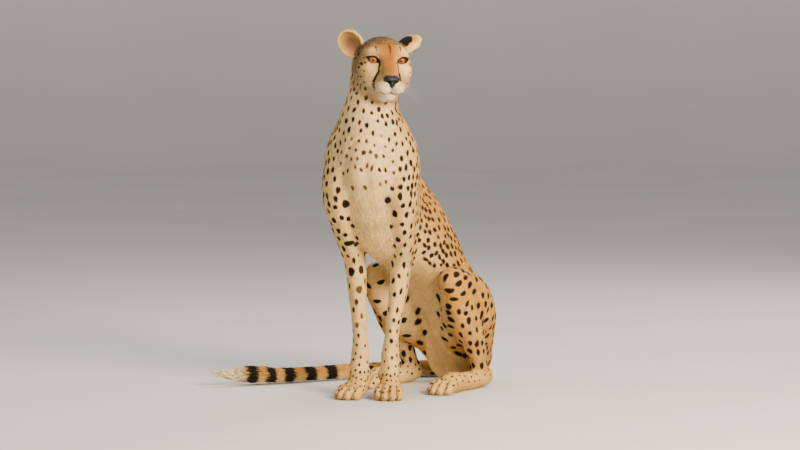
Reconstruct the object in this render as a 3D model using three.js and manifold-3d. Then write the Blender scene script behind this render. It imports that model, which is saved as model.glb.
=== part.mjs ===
// A life-size adult cheetah that sits upright, as a still model parted at its natural divisions.
// Millimetres, +Z up. The chest faces -Y, the animal's left is +X, and the floor is Z = 0.
// Every piece of flesh is grown: rays leave a line inside it and stop where its distance field
// crosses zero. A field is a function that takes a point and gives its distance, negative inside.

import * as THREE from "three";
import { mergeVertices } from "three/addons/utils/BufferGeometryUtils.js";
import Module from "manifold-3d";

const wasm = await Module();
wasm.setup();

// ---------------------------------------------------------------- driving dimensions

const GAP = 0.4; // left between pieces that touch
const FLOOR = new THREE.Vector3(0, 0, 1);

// The trunk and neck from the rump to the nape: place, half depth, half width, turn of the body.
const TRUNK = {
  rump: [180, 362, 80, 86, 90, 28],
  pelvis: [166, 325, 178, 92, 102, 28],
  loin: [142, 275, 284, 88, 82, 28],
  waist: [108, 212, 366, 102, 88, 26],
  ribs: [66, 132, 436, 124, 100, 20],
  chest: [22, 42, 505, 138, 104, 10],
  shoulders: [-1, -30, 602, 116, 100, 2],
  neckBase: [-2, -44, 690, 92, 93, 2],
  neckMiddle: [1, -52, 752, 76, 72, 5],
  neckTop: [10, -44, 816, 66, 68, 12],
  nape: [11, -31, 863, 56, 70, 18],
};
const NECK_CUT = 0.72; // shares of the trunk line where it is parted
const LOIN_CUT = 0.33;
const MIDDLE_TURN = 14; // the turn of the trunk half way along

// Each foreleg from the top of the shoulder blade to the pastern, as seen from the midline out.
const FORELEG = {
  left: [
    [46, 4, 690, 40, 30],
    [70, -8, 648, 58, 42],
    [80, -26, 596, 68, 46],
    [82, -50, 530, 68, 44],
    [76, 0, 440, 58, 37],
    [66, 42, 358, 44, 31],
    [62, 32, 292, 36, 27],
    [53, 14, 220, 27, 22.5],
    [46, 4, 158, 23, 20],
    [43, 0, 112, 26, 25],
    [44, -12, 66, 24, 25],
  ],
  right: [
    [50, 4, 690, 40, 32],
    [74, -8, 648, 58, 46],
    [84, -26, 596, 68, 46],
    [84, -50, 530, 68, 45],
    [70, 0, 440, 58, 37],
    [57, 42, 358, 44, 31],
    [50, 32, 292, 36, 27],
    [42, 14, 220, 27, 22.5],
    [38, 4, 158, 23, 20],
    [36, 0, 112, 26, 25],
    [39, -10, 66, 24, 25],
  ],
};
const FOREPAW = {
  left: { at: [45, -30, -6.5], turn: 4, width: 27, rise: 52 },
  right: { at: [-43, -27, -6.5], turn: -24, width: 28, rise: 52 },
};
const THUMB = { inside: 27, behind: 20, up: 62, size: [9, 12, 14] };
const ELBOW = { at: [0, 42, 345], slope: -0.35 };
const WRIST_Z = 88;

// The hind legs are placed from the pelvis: out to the side, forward, and up.
const PELVIS = { at: [163, 330], turn: 28 };
const THIGH = [
  [44, -4, 168, 86, 60],
  [92, 58, 208, 98, 58],
  [120, 138, 264, 68, 42],
  [124, 172, 290, 48, 35],
];
const SHANK = [
  [124, 156, 262, 46, 34],
  [123, 108, 188, 49, 35],
  [119, 62, 112, 33, 26],
  [115, 34, 58, 26, 20],
  [114, 20, 32, 24, 19],
];
const HIND_FOOT = [
  [114, 6, 30, 25, 19],
  [115, 55, 24, 26, 21],
  [117, 120, 24, 26, 25],
  [119, 168, 28, 27, 31],
];
const HIND_PAW = { out: 119, forward: 188, drop: -6, turn: 6, width: 26, rise: 26 };
const HOCK_Z = 66;

// The tail on the floor, from the rump to the tip of the brush.
const TAIL = [
  [198, 405, 62, 38, 36],
  [206, 442, 44, 34, 33],
  [184, 480, 30, 30, 29],
  [116, 492, 24, 26, 25],
  [34, 474, 23, 24, 23],
  [-56, 432, 22, 23, 22],
  [-142, 378, 22, 22, 22],
  [-224, 318, 21, 21, 21],
  [-302, 260, 22, 22, 22],
  [-362, 218, 28, 25, 25],
];
const TAIL_CUTS = [0.24, 0.45, 0.64, 0.82];
const TAIL_TIP = [-446, 160, 36];
const BRUSH = { rows: 2, around: 6, from: 0.86, span: 0.12, core: 24, length: 70, width: 12, thick: 4 };

// The head in its own frame: forward -Y, its left +X, and the origin inside the braincase.
const HEAD = { at: [27, -50, 872], yaw: 22, roll: 2.2 };
const EYE = {
  centre: [37, -53, 8],
  radius: 17.5,
  lid: 3,
  tilt: -17,
  turn: 10,
  width: 31,
  height: 17,
};
const NOSE = { at: [0, -117, -45], nostril: 2.3 };
const MOUTH = {
  inside: [0, -78, -72],
  ahead: 42,
  centre: -74,
  bow: 5,
  corner: -73,
  reach: 66,
  depth: 2.4,
  cleft: 1.4,
};
const EAR = {
  left: { at: [57, 16, 36], lean: 55, open: 110, pitch: -10 },
  right: { at: [-67, 12, 31], lean: -38, open: -26, pitch: 0 },
};
const EAR_SIZE = { wide: 33, thick: 19, tall: 41, rim: 4.5 };

const SIDES = { left: 1, right: -1 };

// ---------------------------------------------------------------- fields

const point = ([x, y, z]) => new THREE.Vector3(x, y, z);

// The direction of the animal's left where the body is turned by so many degrees.
function leftward(turn) {
  const angle = THREE.MathUtils.degToRad(turn);
  return new THREE.Vector3(Math.cos(angle), -Math.sin(angle), 0);
}

// Stations [x, y, z, half depth, half width, turn] become a smooth run of oval sections.
function sections(stations, steps = 4) {
  const line = new THREE.CatmullRomCurve3(stations.map(point));
  const girth = new THREE.CatmullRomCurve3(
    stations.map(([, , , deep, wide, turn = 0]) => new THREE.Vector3(deep, wide, turn)),
  );
  const count = (stations.length - 1) * steps;
  return Array.from({ length: count + 1 }, (_, i) => {
    const size = girth.getPoint(i / count);
    return { at: line.getPoint(i / count), deep: size.x, wide: size.y, side: leftward(size.z) };
  });
}

// A limb, trunk or tail: the nearest of its oval sections gives the distance.
function limb(stations, steps) {
  const run = sections(stations, steps);
  const offset = new THREE.Vector3();
  return (p) => {
    let nearest = Infinity;
    for (let i = 0; i + 1 < run.length; i += 1) {
      const a = run[i];
      const b = run[i + 1];
      offset.subVectors(b.at, a.at);
      const along = offset.lengthSq();
      const share = (p.x - a.at.x) * offset.x + (p.y - a.at.y) * offset.y + (p.z - a.at.z) * offset.z;
      const t = THREE.MathUtils.clamp(share / along, 0, 1);
      offset.multiplyScalar(t).add(a.at).sub(p);
      const deep = THREE.MathUtils.lerp(a.deep, b.deep, t);
      const wide = THREE.MathUtils.lerp(a.wide, b.wide, t);
      const across = offset.dot(a.side);
      const rest = Math.max(offset.lengthSq() - across * across, 0);
      const oval = Math.sqrt((across / wide) ** 2 + rest / (deep * deep));
      nearest = Math.min(nearest, (oval - 1) * Math.min(deep, wide));
    }
    return nearest;
  };
}

// A rounded mass: an ellipsoid with its axes along the frame's.
function mass([x, y, z], [rx, ry, rz]) {
  return (p) => {
    const [dx, dy, dz] = [(p.x - x) / rx, (p.y - y) / ry, (p.z - z) / rz];
    const reach = Math.hypot(dx, dy, dz);
    const slope = Math.hypot(dx / rx, dy / ry, dz / rz);
    return slope < 1e-9 ? -Math.min(rx, ry, rz) : (reach * (reach - 1)) / slope;
  };
}

// Fields that flow into one another over a width of blend.
function merge(blend, ...fields) {
  return (p) =>
    fields.reduce((least, field) => {
      const next = field(p);
      const near = Math.max(blend - Math.abs(least - next), 0) / blend;
      return Math.min(least, next) - (near * near * blend) / 4;
    }, Infinity);
}

// A field with another one hollowed out of it.
function hollow(blend, field, cutter) {
  return (p) => {
    const inside = field(p);
    const away = -cutter(p);
    const near = Math.max(blend - Math.abs(inside - away), 0) / blend;
    return Math.max(inside, away) + (near * near * blend) / 4;
  };
}

const both = (make) => Object.values(SIDES).map(make);
const grown = (field, by) => (p) => field(p) - by;

// ---------------------------------------------------------------- surfaces and solids

// How far a ray runs inside a field before it comes out.
function reach(field, origin, direction) {
  const p = new THREE.Vector3();
  const value = (r) => field(p.copy(direction).multiplyScalar(r).add(origin));
  let low = 0;
  let high = 0;
  for (let f = value(0); f < 0; f = value(high)) {
    low = high;
    high += Math.max(-f * 0.8, 0.4);
  }
  for (let i = 0; i < 16; i += 1) {
    const middle = (low + high) / 2;
    if (value(middle) < 0) low = middle;
    else high = middle;
  }
  return low;
}

// Closes rows of points, each row once round, into a solid with a pole at either end.
function closeRows(first, rows, last) {
  const around = rows[0].length;
  const points = [first, ...rows.flat(), last];
  const faces = [];
  const at = (row, column) => 1 + row * around + (column % around);
  for (let c = 0; c < around; c += 1) {
    faces.push(0, at(0, c + 1), at(0, c));
    for (let r = 0; r + 1 < rows.length; r += 1) {
      faces.push(at(r, c), at(r, c + 1), at(r + 1, c));
      faces.push(at(r, c + 1), at(r + 1, c + 1), at(r + 1, c));
    }
    faces.push(at(rows.length - 1, c), at(rows.length - 1, c + 1), points.length - 1);
  }
  const geometry = new THREE.BufferGeometry().setFromPoints(points);
  geometry.setIndex(faces);
  return solid(geometry);
}

// Grows a solid round a line inside its field: rings along the line and a fan of rows at each end.
function grow(field, line, { rings = 12, around = 14, cap = 4, side = [1, 0, 0] } = {}) {
  const curve = new THREE.CatmullRomCurve3(line.map(point));
  const lateral = point(side);
  const row = (t, lift) => {
    const centre = curve.getPoint(t);
    const ahead = curve.getTangent(t);
    const out = lateral.clone().addScaledVector(ahead, -ahead.dot(lateral)).normalize();
    const up = new THREE.Vector3().crossVectors(ahead, out);
    return Array.from({ length: around }, (_, i) => {
      const angle = (i / around) * 2 * Math.PI;
      const direction = out
        .clone()
        .multiplyScalar(Math.cos(angle) * Math.cos(lift))
        .addScaledVector(up, Math.sin(angle) * Math.cos(lift))
        .addScaledVector(ahead, Math.sin(lift));
      return direction.clone().multiplyScalar(reach(field, centre, direction)).add(centre);
    });
  };
  const pole = (t, sign) => {
    const ahead = curve.getTangent(t).multiplyScalar(sign);
    const centre = curve.getPoint(t);
    return ahead.clone().multiplyScalar(reach(field, centre, ahead)).add(centre);
  };
  const lifts = Array.from({ length: cap - 1 }, (_, i) => ((i + 1) / cap) * (Math.PI / 2));
  const rows = [
    ...lifts.map((lift) => row(0, -lift)).reverse(),
    ...Array.from({ length: rings + 1 }, (_, i) => row(i / rings, 0)),
    ...lifts.map((lift) => row(1, lift)),
  ];
  return closeRows(pole(0, -1), rows, pole(1, 1));
}

// A three.js geometry as a solid for joining and cutting.
function solid(geometry) {
  const bare = new THREE.BufferGeometry();
  bare.setAttribute("position", geometry.getAttribute("position"));
  bare.setIndex(geometry.getIndex());
  const merged = mergeVertices(bare, 1e-4);
  return new wasm.Manifold(
    new wasm.Mesh({
      numProp: 3,
      vertProperties: merged.getAttribute("position").array,
      triVerts: new Uint32Array(merged.getIndex().array),
    }),
  );
}

const place = (body, matrix) => body.transform(matrix.elements);
const join = (...bodies) => bodies.flat().reduce((all, body) => all.add(body));
const cut = (body, ...tools) => tools.flat().reduce((rest, tool) => rest.subtract(tool), body);
const aboveFloor = (body) => body.trimByPlane(FLOOR.toArray(), 0);

// Parts a solid by a plane, with the gap between the halves: the side that the normal points to first.
function part(body, at, normal) {
  const unit = normal.clone().normalize();
  const offset = unit.dot(at);
  const back = unit.clone().negate();
  return [
    body.trimByPlane(unit.toArray(), offset + GAP / 2),
    body.trimByPlane(back.toArray(), -offset + GAP / 2),
  ];
}

// A ball, stretched and turned.
function ball([rx, ry, rz], matrix = new THREE.Matrix4(), across = 16, up = 10) {
  const geometry = new THREE.SphereGeometry(1, across, up).scale(rx, ry, rz);
  return place(solid(geometry), matrix);
}

// A tube of one radius through points.
function tube(points, radius, steps, sides = 6) {
  const outline = new THREE.Shape().absarc(0, 0, radius, 0, 2 * Math.PI);
  const geometry = new THREE.ExtrudeGeometry(outline, {
    extrudePath: new THREE.CatmullRomCurve3(points),
    steps,
    curveSegments: sides,
  });
  return solid(geometry);
}

function pose(at, { x = 0, y = 0, z = 0 } = {}) {
  const angles = [x, y, z].map(THREE.MathUtils.degToRad);
  const turned = new THREE.Matrix4().makeRotationFromEuler(new THREE.Euler(...angles, "ZYX"));
  return turned.setPosition(point(at));
}

// ---------------------------------------------------------------- trunk and neck

const trunkStations = Object.values(TRUNK);
const trunkField = limb(trunkStations);

function growTrunk(by) {
  const line = trunkStations.map((s) => s.slice(0, 3));
  return grow(grown(trunkField, by), line, {
    rings: 22,
    around: 24,
    cap: 4,
    side: leftward(MIDDLE_TURN).toArray(),
  });
}

function makeTrunk(headTool) {
  const curve = new THREE.CatmullRomCurve3(trunkStations.map(point));
  const whole = aboveFloor(growTrunk(0));
  const cutAt = (body, t) => part(body, curve.getPoint(t), curve.getTangent(t));
  const [neck, rest] = cutAt(whole, NECK_CUT);
  const [chest, loin] = cutAt(rest, LOIN_CUT);
  return { neck: cut(neck, headTool), chest, loin };
}

// ---------------------------------------------------------------- paws and claws

const CLAW = { length: 15, base: 3.4, tip: 0.9 };

// The claw of a toe that ends at [x, y, z], as a short hook that points down.
function makeClaw([x, y, z], by = 0) {
  const stations = [
    [x, y + 8, z + 5, CLAW.base, CLAW.base],
    [x, y - 4, z + 4, CLAW.base * 0.85, CLAW.base * 0.85],
    [x, y - CLAW.length, z - 5, CLAW.tip, CLAW.tip],
  ];
  return grow(grown(limb(stations, 3), by), stations.map((s) => s.slice(0, 3)), {
    rings: 2,
    around: 5,
    cap: 1,
  });
}

// A paw on the floor round its own origin, toes towards -Y, that rises to the leg behind it: its pad
// and toes as one body, and the places of its claws.
function makePaw(width, rise) {
  const body = [
    [0, 26, rise, 27, 25],
    [0, 6, 14 + rise / 2, 27, width + 2],
    [0, -18, 27, 23, width + 8],
  ];
  const pad = grow(limb(body), body.map((s) => s.slice(0, 3)), { rings: 3, around: 12, cap: 2 });
  const places = [-1, -0.36, 0.36, 1];
  const toes = places.map((share) => {
    const middle = Math.abs(share) < 0.5;
    return [share * width, middle ? -63 : -50, 13.5];
  });
  const flesh = toes.map(([x, y, z]) => {
    const toe = [
      [x * 0.85, y + 46, 31, 14, 12.5],
      [x, y + 26, 28, 15.5, 12.5],
      [x, y + 6, z + 4, 14, 11.5],
    ];
    return grow(limb(toe, 3), toe.map((s) => s.slice(0, 3)), { rings: 2, around: 7, cap: 2 });
  });
  const claws = toes.map(([x, y, z]) => [x, y - 1, z + 1]);
  return { flesh: join(pad, flesh), claws };
}

// Sets a paw and its claws where a matrix says. The paw is hollowed for the roots of the claws.
function setPaw(width, rise, matrix) {
  const paw = makePaw(width, rise);
  const tools = paw.claws.map((c) => makeClaw(c, GAP));
  return {
    flesh: place(cut(paw.flesh, tools), matrix),
    claws: paw.claws.map((c) => place(makeClaw(c), matrix)),
    tools: tools.map((t) => place(t, matrix)),
  };
}

// ---------------------------------------------------------------- legs

// A foreleg in three pieces, with the paw's claws and the dewclaw inside the wrist.
function makeForeleg(name, trunkTool) {
  const sign = SIDES[name];
  const stations = FORELEG[name].map(([x, ...rest]) => [sign * x, ...rest]);
  const leg = grow(limb(stations), stations.map((s) => s.slice(0, 3)), {
    rings: 22,
    around: 13,
    cap: 3,
  });
  const { at, turn, width, rise } = FOREPAW[name];
  const paw = setPaw(width, rise, pose(at, { z: turn }));
  const inward = [at[0] - sign * THUMB.inside, at[1] + THUMB.behind, THUMB.up];
  const thumb = ball(THUMB.size, pose(inward), 10, 6);
  const dewAt = [inward[0] - sign * 3, inward[1] - 9, THUMB.up - 10];
  const dewTool = makeClaw(dewAt, GAP);
  const whole = cut(join(leg, paw.flesh, thumb), trunkTool, paw.tools, dewTool);
  const [above, foot] = part(aboveFloor(whole), point([0, 0, WRIST_Z]), FLOOR);
  const [upper, lower] = part(above, point(ELBOW.at), new THREE.Vector3(0, ELBOW.slope, 1));
  return { upper, lower, foot, claws: [...paw.claws, makeClaw(dewAt)] };
}

// A hind leg in three pieces: the thigh, the shank down to the hock, and the long foot on the floor.
function makeHindleg(name, trunkTool) {
  const sign = SIDES[name];
  const left = leftward(PELVIS.turn);
  const ahead = new THREE.Vector3(-left.y, left.x, 0).negate();
  const world = ([out, forward, z, deep, wide]) => {
    const at = point([...PELVIS.at, z]).addScaledVector(left, sign * out).addScaledVector(ahead, forward);
    return [...at.toArray(), deep, wide, PELVIS.turn];
  };
  const raise = (stations, by, options) => {
    const run = stations.map(world);
    const line = run.map((s) => s.slice(0, 3));
    return grow(grown(limb(run), by), line, { side: left.toArray(), ...options });
  };
  const thighShape = { rings: 8, around: 16, cap: 3 };
  const thigh = cut(raise(THIGH, 0, thighShape), trunkTool);
  const shank = raise(SHANK, 0, { rings: 8, around: 12, cap: 3 });
  const sole = raise(HIND_FOOT, 0, { rings: 6, around: 12, cap: 2 });
  const { out, forward, drop, turn, width, rise } = HIND_PAW;
  const [x, y] = world([out, forward, 0, 0, 0]);
  const paw = setPaw(width, rise, pose([x, y, drop], { z: sign * turn - PELVIS.turn }));
  const whole = cut(join(shank, sole, paw.flesh), trunkTool, raise(THIGH, GAP, thighShape), paw.tools);
  const [upper, foot] = part(aboveFloor(whole), point([0, 0, HOCK_Z]), FLOOR);
  return { thigh, shank: upper, foot, claws: paw.claws };
}

// ---------------------------------------------------------------- tail

// One flat, tapered lock of the brush, from a root inside the tail towards its tip.
function makeLock(root, along, out, length, width, thick) {
  const across = new THREE.Vector3().crossVectors(out, along).normalize();
  const rows = [0, 0.4, 0.75].map((t) => {
    const swell = Math.sin(Math.PI * (0.25 + 0.6 * t));
    const centre = root
      .clone()
      .addScaledVector(along, t * length)
      .addScaledVector(out, length * 0.14 * Math.sin(Math.PI * t));
    return Array.from({ length: 4 }, (_, i) => {
      const angle = (i / 4) * 2 * Math.PI;
      return centre
        .clone()
        .addScaledVector(across, Math.cos(angle) * width * swell)
        .addScaledVector(out, Math.sin(angle) * thick * swell);
    });
  });
  const tip = root.clone().addScaledVector(along, length).addScaledVector(out, -length * 0.06);
  return closeRows(root.clone().addScaledVector(along, -thick), rows, tip);
}

// The brush at the end of the tail: locks in rows that overlap like tiles round a slim core.
function makeBrush(curve) {
  const locks = [];
  for (let row = 0; row < BRUSH.rows; row += 1) {
    const t = BRUSH.from + (row / BRUSH.rows) * BRUSH.span;
    const centre = curve.getPoint(t);
    const along = curve.getTangent(t);
    const side = new THREE.Vector3().crossVectors(along, FLOOR).normalize();
    const up = new THREE.Vector3().crossVectors(side, along);
    const core = BRUSH.core - 7 * row;
    for (let i = 0; i < BRUSH.around; i += 1) {
      const angle = ((i + (row % 2) / 2) / BRUSH.around) * 2 * Math.PI;
      const out = side.clone().multiplyScalar(Math.cos(angle)).addScaledVector(up, Math.sin(angle));
      const length = BRUSH.length * (0.92 + 0.08 * Math.sin(3 * i + 2 * row)) * (1 - 0.09 * row);
      const root = centre.clone().addScaledVector(out, core * 0.75);
      locks.push(makeLock(root, along, out, length, BRUSH.width * (1 - 0.08 * row), BRUSH.thick));
    }
  }
  return locks;
}

function makeTail(trunkTool, legTools) {
  const stations = [...TAIL, [...TAIL_TIP, 7, 7]];
  const curve = new THREE.CatmullRomCurve3(stations.map(point));
  const core = grow(limb(stations), stations.map((s) => s.slice(0, 3)), {
    rings: 34,
    around: 10,
    cap: 3,
    side: FLOOR.toArray(),
  });
  const whole = aboveFloor(cut(join(core, makeBrush(curve)), trunkTool, legTools));
  const pieces = [];
  let rest = whole;
  for (const t of TAIL_CUTS) {
    const [beyond, before] = part(rest, curve.getPoint(t), curve.getTangent(t));
    pieces.push(before);
    rest = beyond;
  }
  return [...pieces, rest];
}

// ---------------------------------------------------------------- head

const headMatrix = pose(HEAD.at, { y: HEAD.roll, z: HEAD.yaw });

const braincase = merge(
  22,
  mass([0, 0, 4], [68, 73, 66]),
  mass([0, -44, 16], [46, 32, 36]),
  ...both((s) => mass([s * 31, -43, 23], [25, 24, 17])),
  ...both((s) => mass([s * 38, -34, -19], [34, 42, 33])),
  ...both((s) => mass([s * 33, -10, -48], [33, 50, 30])),
);
const bridge = limb([
  [0, -50, 6, 30, 31],
  [0, -80, -14, 25, 23],
  [0, -108, -36, 18, 19],
]);
const muzzle = merge(
  7,
  mass([0, -84, -52], [27, 36, 32]),
  ...both((s) => mass([s * 17, -102, -61], [20, 26, 18.5])),
  limb([
    [0, -92, -79, 14.5, 20],
    [0, -60, -74, 25, 32],
    [0, -10, -66, 30, 44],
  ]),
);
const orbits = merge(1, ...both((s) => mass([s * 41, -94, 5], [20, 27, 15])));
const headField = hollow(9, merge(24, braincase, merge(14, bridge, muzzle)), orbits);

function growHead(by) {
  const line = [
    [0, 44, -2],
    [0, -22, -25],
    [0, -86, -50],
  ];
  return grow(grown(headField, by), line, { rings: 13, around: 30, cap: 6 });
}

// The outline of the opening between the lids, an almond.
function almond(width, height) {
  const shape = new THREE.Shape();
  shape.moveTo(-width / 2, 0);
  shape.quadraticCurveTo(-width * 0.1, height * 1.12, width / 2, 0);
  shape.quadraticCurveTo(width * 0.05, -height * 0.92, -width / 2, 0);
  return shape;
}

// The rims of the lids: a closed band round the opening, on the ball.
function lidRims() {
  const over = EYE.radius + EYE.lid / 2;
  const outline = almond(EYE.width + EYE.lid, EYE.height + EYE.lid).getSpacedPoints(22).slice(0, -1);
  const onBall = ({ x, y }) => new THREE.Vector3(x, -Math.sqrt(over * over - x * x - y * y), y);
  const band = new THREE.CatmullRomCurve3(outline.map(onBall), true);
  return solid(new THREE.TubeGeometry(band, 22, EYE.lid * 0.75, 5, true));
}

// One eye: the ball, the lids round it, and the tools that open them.
function makeEye(sign) {
  const centre = [sign * EYE.centre[0], EYE.centre[1], EYE.centre[2]];
  const at = pose(centre);
  const facing = pose(centre, { y: sign * EYE.tilt, z: sign * EYE.turn });
  const lidRadius = EYE.radius + EYE.lid / 2;
  const opening = new THREE.ExtrudeGeometry(almond(EYE.width, EYE.height), {
    depth: 30,
    bevelEnabled: false,
    curveSegments: 6,
  });
  opening.rotateX(Math.PI / 2).translate(0, -0.5 * EYE.radius, 0);
  return {
    ball: ball([EYE.radius, EYE.radius, EYE.radius], at, 12, 8),
    lids: join(ball([lidRadius, lidRadius, lidRadius], at, 12, 9), place(lidRims(), facing)),
    socket: ball(Array(3).fill(EYE.radius + GAP), at, 12, 8),
    opening: place(solid(opening), facing),
  };
}

// The groove between the lips, on the muzzle's surface, and the cleft above its middle.
function mouthTools() {
  const origin = point(MOUTH.inside);
  const onMuzzle = (angle, z) => {
    const turn = THREE.MathUtils.degToRad(angle);
    const slope = (z - origin.z) / MOUTH.ahead;
    const direction = new THREE.Vector3(Math.sin(turn), -Math.cos(turn), slope).normalize();
    return direction.clone().multiplyScalar(reach(headField, origin, direction)).add(origin);
  };
  const line = [-1, -0.75, -0.5, -0.24, 0, 0.24, 0.5, 0.75, 1].map((share) => {
    const dip = MOUTH.bow * Math.sin(Math.PI * Math.min(Math.abs(share) * 2, 1));
    const z = THREE.MathUtils.lerp(MOUTH.centre, MOUTH.corner, share * share) - dip;
    return onMuzzle(share * MOUTH.reach, z);
  });
  const cleft = [onMuzzle(0, -60), onMuzzle(0, -70), onMuzzle(0, MOUTH.centre)];
  return [tube(line, MOUTH.depth, 16), tube(cleft, MOUTH.cleft, 3)];
}

// The nose pad, with its nostrils cut when it isn't itself used as a tool.
function makeNose(by) {
  const [x, y, z] = NOSE.at;
  const field = merge(
    8,
    ...both((s) => mass([x + s * 9.5, y, z + 6], [11.5, 12, 9])),
    mass([x, y - 1, z - 6], [8, 11, 10]),
  );
  const pad = grow(grown(field, by), [[x, y + 3, z + 2], [x, y - 3, z + 1]], {
    rings: 1,
    around: 14,
    cap: 4,
  });
  if (by > 0) return pad;
  const slit = [
    [5, -14, 0],
    [10, -12, 3.5],
    [15, -8, 0],
    [19, -2, -4],
  ];
  const nostril = (s) => slit.map(([out, ahead, up]) => point([x + s * out, y + ahead, z + up]));
  return cut(pad, both((s) => tube(nostril(s), NOSE.nostril, 5)));
}

// An ear: a bowl with a rounded rim, open to the front before it is leant out.
function makeEar(name, headTool) {
  const { wide, thick, tall, rim } = EAR_SIZE;
  const { at, lean, open, pitch } = EAR[name];
  const outside = ball([wide, thick, tall], new THREE.Matrix4(), 13, 9);
  const hollowed = [wide - rim, thick - rim * 0.6, tall - rim * 1.2];
  const inside = ball(hollowed, pose([0, -thick * 0.62, 2]), 13, 9);
  const raised = place(cut(outside, inside), pose([0, 0, tall * 0.5]));
  const facing = place(raised, pose([0, 0, 0], { z: open }));
  const matrix = pose(at, { x: pitch, y: lean });
  return cut(place(facing, matrix), headTool);
}

function makeHead() {
  const tool = growHead(GAP);
  const eyes = both(makeEye);
  const fleshed = join(growHead(0), eyes.map((eye) => eye.lids));
  const openings = eyes.flatMap((eye) => [eye.socket, eye.opening]);
  const head = cut(fleshed, openings, mouthTools(), makeNose(GAP));
  const world = (body) => place(body, headMatrix);
  return {
    tool: world(tool),
    head: world(head),
    nose: world(makeNose(0)),
    eyes: eyes.map((eye) => world(eye.ball)),
    ears: Object.fromEntries(Object.keys(SIDES).map((name) => [name, world(makeEar(name, tool))])),
  };
}

// ---------------------------------------------------------------- the model

const paint = (color, roughness) => new THREE.MeshStandardMaterial({ color, roughness, metalness: 0 });
const MATERIALS = {
  coat: paint(0xcf9c5b, 0.85),
  pale: paint(0xe8d3ab, 0.88),
  tail: paint(0xc79a62, 0.88),
  eye: paint(0xa8541c, 0.12),
  nose: paint(0x1c1614, 0.45),
  claw: paint(0x73614d, 0.4),
};

const model = new THREE.Group();

// Adds a solid's largest closed surface as one named mesh.
function add(name, body, material) {
  const whole = body.simplify(0.1).decompose();
  const kept = whole.reduce((a, b) => (a.volume() > b.volume() ? a : b)).getMesh();
  const geometry = new THREE.BufferGeometry();
  geometry.setAttribute("position", new THREE.BufferAttribute(kept.vertProperties, 3));
  geometry.setIndex(new THREE.BufferAttribute(kept.triVerts, 1));
  const mesh = new THREE.Mesh(geometry, material);
  mesh.name = name;
  model.add(mesh);
}

const head = makeHead();
const trunkTool = growTrunk(GAP);
const trunk = makeTrunk(head.tool);
add("head", head.head, MATERIALS.coat);
add("nose", head.nose, MATERIALS.nose);
add("neck", trunk.neck, MATERIALS.pale);
add("chest", trunk.chest, MATERIALS.coat);
add("loin", trunk.loin, MATERIALS.coat);

const footTools = [];
Object.keys(SIDES).forEach((name, index) => {
  add(`eye_${name}`, head.eyes[index], MATERIALS.eye);
  add(`ear_${name}`, head.ears[name], MATERIALS.coat);

  const front = makeForeleg(name, trunkTool);
  add(`upper_foreleg_${name}`, front.upper, MATERIALS.coat);
  add(`forearm_${name}`, front.lower, MATERIALS.pale);
  add(`forepaw_${name}`, front.foot, MATERIALS.pale);
  front.claws.forEach((claw, i) => add(`fore_claw_${name}_${i + 1}`, claw, MATERIALS.claw));

  const back = makeHindleg(name, trunkTool);
  add(`thigh_${name}`, back.thigh, MATERIALS.coat);
  add(`shank_${name}`, back.shank, MATERIALS.coat);
  add(`hind_foot_${name}`, back.foot, MATERIALS.pale);
  back.claws.forEach((claw, i) => add(`hind_claw_${name}_${i + 1}`, claw, MATERIALS.claw));
  footTools.push(back.foot, back.thigh);
});

makeTail(trunkTool, footTools).forEach((piece, i) => add(`tail_${i + 1}`, piece, MATERIALS.tail));

// The origin is the middle of the whole model's footprint, on the floor.
const box = new THREE.Box3().setFromObject(model);
const middle = box.getCenter(new THREE.Vector3());
model.position.set(-middle.x, -middle.y, -box.min.z);

export default model;
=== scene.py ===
import math

import bpy
import numpy as np
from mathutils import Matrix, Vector

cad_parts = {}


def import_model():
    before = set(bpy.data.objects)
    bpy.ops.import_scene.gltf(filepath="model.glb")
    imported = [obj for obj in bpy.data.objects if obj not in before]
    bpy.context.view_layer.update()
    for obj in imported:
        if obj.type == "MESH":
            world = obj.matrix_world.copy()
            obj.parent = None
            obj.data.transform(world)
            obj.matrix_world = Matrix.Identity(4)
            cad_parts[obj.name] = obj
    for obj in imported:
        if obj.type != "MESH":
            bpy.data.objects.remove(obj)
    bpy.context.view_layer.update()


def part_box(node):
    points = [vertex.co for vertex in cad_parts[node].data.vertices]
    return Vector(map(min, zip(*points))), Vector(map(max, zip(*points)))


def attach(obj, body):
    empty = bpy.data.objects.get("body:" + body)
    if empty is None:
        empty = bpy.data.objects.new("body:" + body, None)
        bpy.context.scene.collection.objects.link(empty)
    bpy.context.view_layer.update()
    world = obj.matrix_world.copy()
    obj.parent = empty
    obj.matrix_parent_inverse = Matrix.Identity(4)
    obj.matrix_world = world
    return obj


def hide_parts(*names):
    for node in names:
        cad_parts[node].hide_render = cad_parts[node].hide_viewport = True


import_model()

# A sitting cheetah: one skin over the whole body, then eyes, nose, claws, whiskers and a coat of tufts.
# Shapes are worked out in millimetres in the animal's own frame: chest to -Y, its left +X, floor z = 0.
# A field takes an array of points and gives their distance to a surface, negative inside.

# ---------------- sizes, as in the CAD model

# x, y, z, half depth, half width, turn of the body
TRUNK = [
    [180, 362, 80, 86, 90, 28],
    [166, 325, 178, 92, 102, 28],
    [142, 275, 284, 88, 82, 28],
    [108, 212, 366, 102, 88, 26],
    [66, 132, 436, 124, 100, 20],
    [22, 42, 505, 138, 104, 10],
    [-1, -30, 602, 116, 100, 2],
    [-2, -44, 690, 92, 93, 2],
    [1, -52, 752, 76, 72, 5],
    [10, -44, 816, 66, 68, 12],
    [11, -31, 863, 56, 70, 18],
]
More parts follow.
